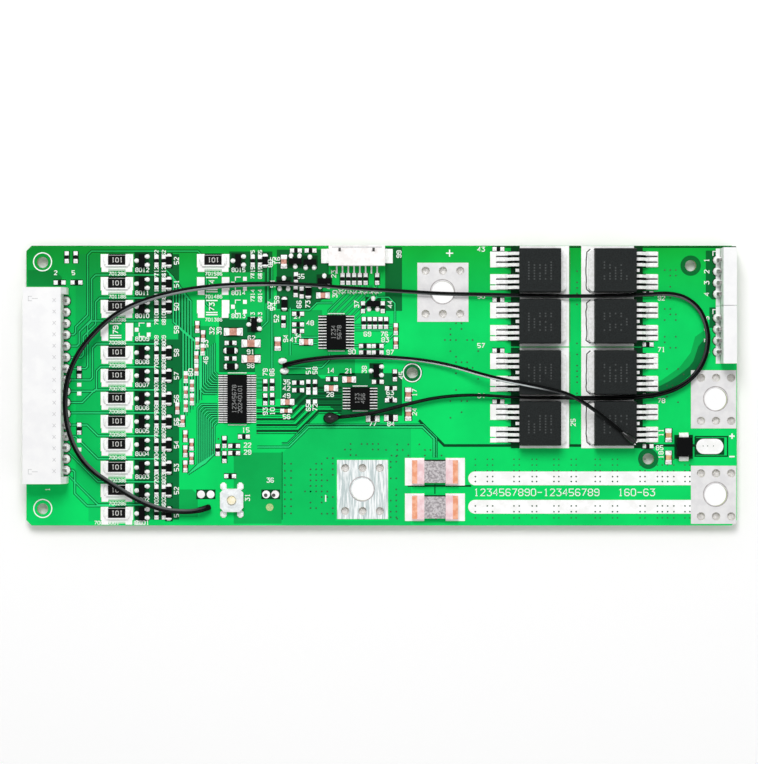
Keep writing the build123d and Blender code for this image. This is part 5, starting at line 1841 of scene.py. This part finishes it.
LONG_ROUTE = metres([
    (-38.9, -27.3, 0), (-38.9, -27.3, 1.7), (-40.3, -27.9, 2.7), (-43.5, -28.4, 2.2), (-48.9, -28.0, 2.3),
    (-54.2, -26.0, 2.5), (-60.1, -22.4, 2.5), (-65.5, -18.8, 2.7), (-68.9, -14.0, 3.6), (-70.7, -7.6, 4.6),
    (-70.75, -0.6, 4.8), (-69.2, 5.0, 4.2), (-66.2, 10.0, 3.2), (-60.4, 15.8, 2.6), (-53.0, 19.4, 2.5),
    (-42.4, 21.9, 2.0), (-29.5, 22.9, 1.6), (-17.0, 22.75, 2.4), (-6.5, 21.8, 1.9), (4.5, 21.2, 1.7),
    (13.5, 20.6, 1.4), (24.0, 20.45, 1.5), (35.0, 20.15, 1.6), (46.0, 20.05, 1.7), (57.0, 20.3, 1.6),
    (66.0, 20.9, 1.4), (70.9, 18.2, 1.5), (73.1, 13.6, 1.9), (73.4, 8.4, 1.6), (71.4, 3.2, 1.3),
    (66.9, -0.6, 1.5), (60.5, -2.5, 1.8), (49.5, -2.85, 1.7), (40.5, -2.72, 1.6), (30.0, -2.7, 1.6),
    (21.5, -2.0, 1.7), (13.0, -2.5, 1.3), (6.0, -4.1, 1.5), (0.5, -5.6, 1.65), (-4.0, -6.6, 1.6),
    (-9.6, -7.1, 1.45)])
SHORT_ROUTE = metres([
    (-22.1, 4.4, 0), (-22.1, 4.4, 1.5), (-20.6, 4.9, 2.3), (-17.0, 5.7, 1.7), (-10.9, 6.4, 1.4),
    (-4.0, 6.5, 1.9), (3.0, 6.3, 1.6), (10.0, 5.6, 1.4), (16.4, 4.3, 1.9), (21.5, 2.7, 3.4), (26.5, 1.4, 5.5),
    (31.5, 0.4, 6.1), (37.0, -0.7, 5.7), (41.8, -1.9, 5.5), (45.6, -4.1, 5.8), (49.0, -6.6, 5.7),
    (51.8, -8.8, 5.4), (53.5, -10.2, 5.35)])


LONG_LEAD = SensorLead(
    "long_sensor_lead", "long_twin_lead", LONG_ROUTE, 0.302, 0.28,
    ((0, 0), (0.3, 0), (0.38, 58), (0.5, 55), (0.62, 60), (0.68, 20), (0.78, 10), (0.86, 80), (1, 60)),
    ((0, 0), (0.03, 0.16), (0.12, 0.12), (0.17, 0.02), (0.22, 0.04), (0.27, 0.3), (0.36, 0.34), (0.42, 0.2),
     (0.6, 0.1), (0.66, 0.14), (0.71, 0.06), (0.75, 0), (1, 0)))
SHORT_LEAD = SensorLead(
    "short_sensor_lead", "short_twin_lead", SHORT_ROUTE, 0.081, 0.27,
    ((0, 0), (0.2, 20), (0.35, 50), (0.75, 45), (1, 70)),
    ((0, 0), (0.25, 0.1), (0.4, 0.75), (0.5, 1), (0.7, 1), (0.78, 0.1), (1, 0)))


@dataclass(frozen=True)
class Bead:
    """Dipped bead, or a sleeve, that carries on from a lead: blunt front and drawn-out neck.

    Args:
        name: Name of the piece.
        end: Where it starts, in metres.
        ahead: Direction of its axis.
        length: Its length in millimetres.
        width: Its greatest width.
        profile: Share of the length against share of the greatest radius.
        finish: Its finish.
        slot: Its material slot; not used.
        sides: Number of its sides.
    """

    name: str
    end: Vector
    ahead: Vector
    length: float
    width: float
    profile: Table = ((0.0, 0.36), (0.1, 0.5), (0.24, 0.74), (0.4, 0.93), (0.56, 1.0), (0.7, 0.97), (0.82, 0.82),
                      (0.92, 0.56), (0.98, 0.28), (1.0, 0.0))
    finish: Finish = BEAD
    slot: str = "bead_epoxy"
    sides: int = 20

    def build(self) -> bpy.types.Object:
        """Turn the profile round the axis.

        Returns:
            The bead.
        """
        side = UP.cross(self.ahead).normalized()
        up = self.ahead.cross(side)
        mesh = bmesh.new()
        rings = []
        for along, share in self.profile[:-1]:
            centre = self.end + self.ahead * (along * self.length * MM)
            radius = share * self.width / 2 * MM
            rings.append([mesh.verts.new(centre + (side * math.cos(t) + up * math.sin(t)) * radius)
                          for t in turns(self.sides)])
        skin(mesh, rings)
        tip = mesh.verts.new(self.end + self.ahead * self.length * MM)
        for k in range(self.sides):
            mesh.faces.new((rings[-1][k], rings[-1][(k + 1) % self.sides], tip))
        mesh.faces.new(rings[0][::-1])
        data = smooth_mesh(mesh, self.name, self.finish)
        return settle(bpy.data.objects.new(self.name, data))


@dataclass
class SensorLeads:
    """Both leads, the beads at their ends, the sleeve and the joints where they start."""

    long_bead: Point2 = (3.6, 2.6)
    short_bead: Point2 = (4.2, 1.5)
    tip: Point3 = (0.4, 0.3, 0.3)
    tip_shift: float = 0.3
    sleeve: Table = ((0.0, 0.55), (0.05, 0.85), (0.14, 1.0), (0.8, 1.0), (0.93, 0.9), (1.0, 0.0))
    sleeve_at: Point3 = (-38.4, -27.2, 1.5)
    sleeve_ahead: Point3 = (-0.93, -0.28, 0.2)
    sleeve_size: Point2 = (3.4, 1.35)
    joints: Table = ((-22.3, 5.5), (-21.9, 3.3))
    joint: Point3 = (2.1, 1.5, 1.1)

    def lead(self, lead: SensorLead, bead_name: str, size: Point2) -> tuple[Vector, Vector]:
        """Args:
            lead: The lead.
            bead_name: Name of its bead.
            size: Length and width of the bead in millimetres.

        Returns:
            The lead's end, and the direction that it ends in.
        """
        path = lead.line()
        piece = lead.build(path)
        end, ahead = path[-1], (path[-1] - path[-3]).normalized()
        bead = Bead(bead_name, end, ahead, *size).build()
        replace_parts(bead, "sensor_beads")
        return end, ahead

    def build(self) -> None:
        """Make the leads with their beads, tips, sleeve and joints."""
        self.lead(LONG_LEAD, "long_lead_bead", self.long_bead)
        end, ahead = self.lead(SHORT_LEAD, "short_lead_bead", self.short_bead)
        side = UP.cross(ahead).normalized() * self.tip_shift
        front = end / MM + ahead * self.short_bead[0]
        tips = [Spot(*(front + side * share)) for share in (-1, 1)]
        blocks("short_lead_bead_tips", [(tips, BlockShape(self.tip, (0, 0, 0), Form.DROP))], SOLDER)
        x, y, z = self.sleeve_at
        Bead("lead_sleeve", Vector((x, y, TOP + z)) * MM, Vector(self.sleeve_ahead).normalized(),
             *self.sleeve_size, self.sleeve, SHEATH, "sensor_sheath").build()
        joints = [Spot(*place, TOP) for place in self.joints]
        blocks("lead_joints", [(joints, BlockShape(self.joint, (0, 0, 0.1), Form.DROP))], SOLDER)


@dataclass
class Packages:
    """Moulded packages with plain tinned leads."""

    bodies: tuple[str, ...] = ("small_transistor_bodies", "monitor_chip_body", "control_chip_body",
                               "driver_chip_body", "surge_diode_body")
    leads: tuple[str, ...] = ("small_transistor_leads", "monitor_chip_leads", "control_chip_leads",
                              "driver_chip_leads", "surge_diode_tabs")

    def build(self) -> None:
        """Dress the bodies and the leads."""
        dress(self.bodies, PACKAGE)
        dress(self.leads, LEAD_TIN)


@dataclass
class PushSwitch:
    """Push switch: tinned steel round a warm plunger, with solder at its legs."""

    steel: tuple[str, ...] = ("switch_cover", "switch_legs", "switch_cup", "switch_dome")
    drop: Point3 = (1.5, 1.9, 0.7)

    def build(self) -> None:
        """Dress the switch and solder its legs."""
        dress(self.steel, SWITCH_STEEL)
        dress(["switch_plunger"], ACETAL)
        legs = [Spot((low.x + high.x) / 2, (low.y + high.y) / 2, TOP) for low, high in solids("switch_legs")]
        blocks("switch_leg_solder", [(legs, BlockShape(self.drop, (0, 0, 0.1), Form.DROP))], SOLDER)


@dataclass
class Studio:
    """White floor, soft lamps and the camera straight above the board."""

    distance: float = 600.0
    view_width: float = 170.7
    centre: Point2 = (-0.59, 0.8)
    wall_light: float = 1.0
    roof_light: float = 0.3
    holes: Table = ((13.8, 21.0), (-4.3, -23.4), (75.3, -3.1), (75.3, -24.6))
    card: Point2 = (2.9, 0.1)
    paper: str = "#f4f4f4"
    paper_lift: float = 0.1
    reach: float = 1.5
    lamps: tuple[tuple[str, Point3, float, float], ...] = (
        ("key", (-0.05, 0.36, 0.62), 0.3, 3.4), ("fill", (0.35, -0.25, 0.7), 0.5, 0.7))

    @staticmethod
    def seen(tree: bpy.types.NodeTree) -> bpy.types.NodeSocket:
        """Tell the rays that show the background, straight, mirrored or through glass.

        Args:
            tree: The node tree that asks.

        Returns:
            A socket that is 1 for such a ray.
        """
        path = add_node(tree, "ShaderNodeLightPath")
        shiny = add_node(tree, "ShaderNodeMath", {
            0: path.outputs["Is Camera Ray"], 1: path.outputs["Is Glossy Ray"]}, operation="MAXIMUM")
        return add_node(tree, "ShaderNodeMath", {
            0: shiny.outputs[0], 1: path.outputs["Is Transmission Ray"]}, operation="MAXIMUM").outputs[0]

    @staticmethod
    def backdrop(name: str, corners: Sequence[Point3], material: bpy.types.Material) -> None:
        """Lay one flat face that isn't part of the object.

        Args:
            name: Its name.
            corners: Its corners in metres, anticlockwise.
            material: Its material.
        """
        mesh = bpy.data.meshes.new(name)
        mesh.from_pydata(corners, [], [list(range(len(corners)))])
        mesh.materials.append(material)
        face = bpy.data.objects.new(name, mesh)
        bpy.context.scene.collection.objects.link(face)

    def floor(self) -> None:
        """Lay a white floor that keeps the board's shadow."""
        material = empty_material("matt_white_paper")
        tree = material.node_tree
        diffuse = add_node(tree, "ShaderNodeBsdfDiffuse", {"Color": linear(self.paper)})
        lift = add_node(tree, "ShaderNodeMath", {0: self.seen(tree), 1: self.paper_lift}, operation="MULTIPLY")
        glow = add_node(tree, "ShaderNodeEmission", {"Strength": lift.outputs[0]})
        both = add_node(tree, "ShaderNodeAddShader", {0: diffuse.outputs[0], 1: glow.outputs[0]})
        add_node(tree, "ShaderNodeOutputMaterial", {"Surface": both.outputs[0]})
        r = self.reach
        self.backdrop("paper", [(-r, -r, 0), (r, -r, 0), (r, r, 0), (-r, r, 0)], material)

    def cards(self) -> None:
        """Lay a glowing card under each screw hole, so that it shows white; the glow is painted light, as the card
        is no lamp.
        """
        material = empty_material("glowing_card")
        glow = add_node(material.node_tree, "ShaderNodeEmission", {"Strength": 1.0})
        add_node(material.node_tree, "ShaderNodeOutputMaterial", {"Surface": glow.outputs[0]})
        radius, height = self.card
        for n, (x, y) in enumerate(self.holes):
            self.backdrop(f"card_{n}", [((x + radius * math.cos(t)) * MM, (y + radius * math.sin(t)) * MM,
                                         height * MM) for t in turns(24)], material)

    def world(self) -> None:
        """Light everything evenly and show white behind the board."""
        world = bpy.data.worlds.new("studio")
        bpy.context.scene.world = world
        world.use_nodes = True
        tree = world.node_tree
        tree.nodes.clear()
        sky = add_node(tree, "ShaderNodeTexCoord")
        height = add_node(tree, "ShaderNodeSeparateXYZ", {0: sky.outputs["Generated"]})
        steep = add_node(tree, "ShaderNodeMath", {0: height.outputs["Z"]}, operation="ABSOLUTE")
        tent = add_node(tree, "ShaderNodeMapRange", {
            "Value": steep.outputs[0], "To Min": self.wall_light, "To Max": self.roof_light})
        strength = add_node(tree, "ShaderNodeMath", {0: tent.outputs[0], 1: self.seen(tree)},
                            operation="MAXIMUM")
        back = add_node(tree, "ShaderNodeBackground", {"Strength": strength.outputs[0]})
        add_node(tree, "ShaderNodeOutputWorld", {"Surface": back.outputs[0]})

    def light(self) -> None:
        """Hang the square soft lamps, which look at the middle of the frame."""
        for name, place, size, power in self.lamps:
            light = bpy.data.lights.new(name, "AREA")
            light.size = size
            light.energy = power
            lamp = bpy.data.objects.new(name, light)
            lamp.location = place
            lamp.rotation_euler = (-Vector(place)).to_track_quat("-Z", "Y").to_euler()
            bpy.context.scene.collection.objects.link(lamp)

    def camera(self) -> None:
        """Set the camera straight above."""
        data = bpy.data.cameras.new("camera")
        data.sensor_fit = "HORIZONTAL"
        data.sensor_width = 36.0
        data.lens = data.sensor_width * self.distance / self.view_width
        data.clip_start = 0.01
        eye = bpy.data.objects.new("camera", data)
        eye.location = (self.centre[0] * MM, self.centre[1] * MM, (self.distance + TOP) * MM)
        bpy.context.scene.collection.objects.link(eye)
        bpy.context.scene.camera = eye

    def build(self) -> None:
        """Set up the studio."""
        for step in (self.floor, self.cards, self.world, self.camera, self.light):
            step()
        bpy.context.scene.view_settings.view_transform = "Standard"


def main() -> None:
    """Build every sub-assembly in order."""
    logging.basicConfig(level=logging.INFO, format="%(message)s")
    parts = (
        Studio(), SensorLeads(), CopperPattern(), Legend(), Terminals(), PowerStage(), BleedRow(),
        ChipGroup("resistor_chips", "chip_resistor", FILM, "thick_film"),
        ChipGroup("capacitor_chips", "chip_capacitor", CERAMIC, "capacitor_ceramic", far_body=SAND_CERAMIC),
        ChipGroup("small_diodes", "small_diode", PACKAGE, "mould_compound", 0.13, (0.55, -0.5), 0.5),
        Packages(), LegSolder(), Shunts(),
        Clearances({"resistor_chips": (0.6, 0.28), "capacitor_chips": (0.6, 0.28), "small_diodes": (0.5, 0.25),
                    "small_transistor_bodies": (0.3, 0.9), "solder_spots": (0.22, 0.22),
                    "bleed_resistor_bodies": (0.6, 0.4), "surge_diode_body": (0.5, 0.3)},
                   {"monitor_chip_leads": 1.5, "control_chip_leads": 1.5, "driver_chip_leads": 1.4}),
        PushSwitch(), Headers())
    for part in parts:
        LOG.info("building %s", type(part).__name__)
        part.build()


if __name__ == "__main__":
    main()
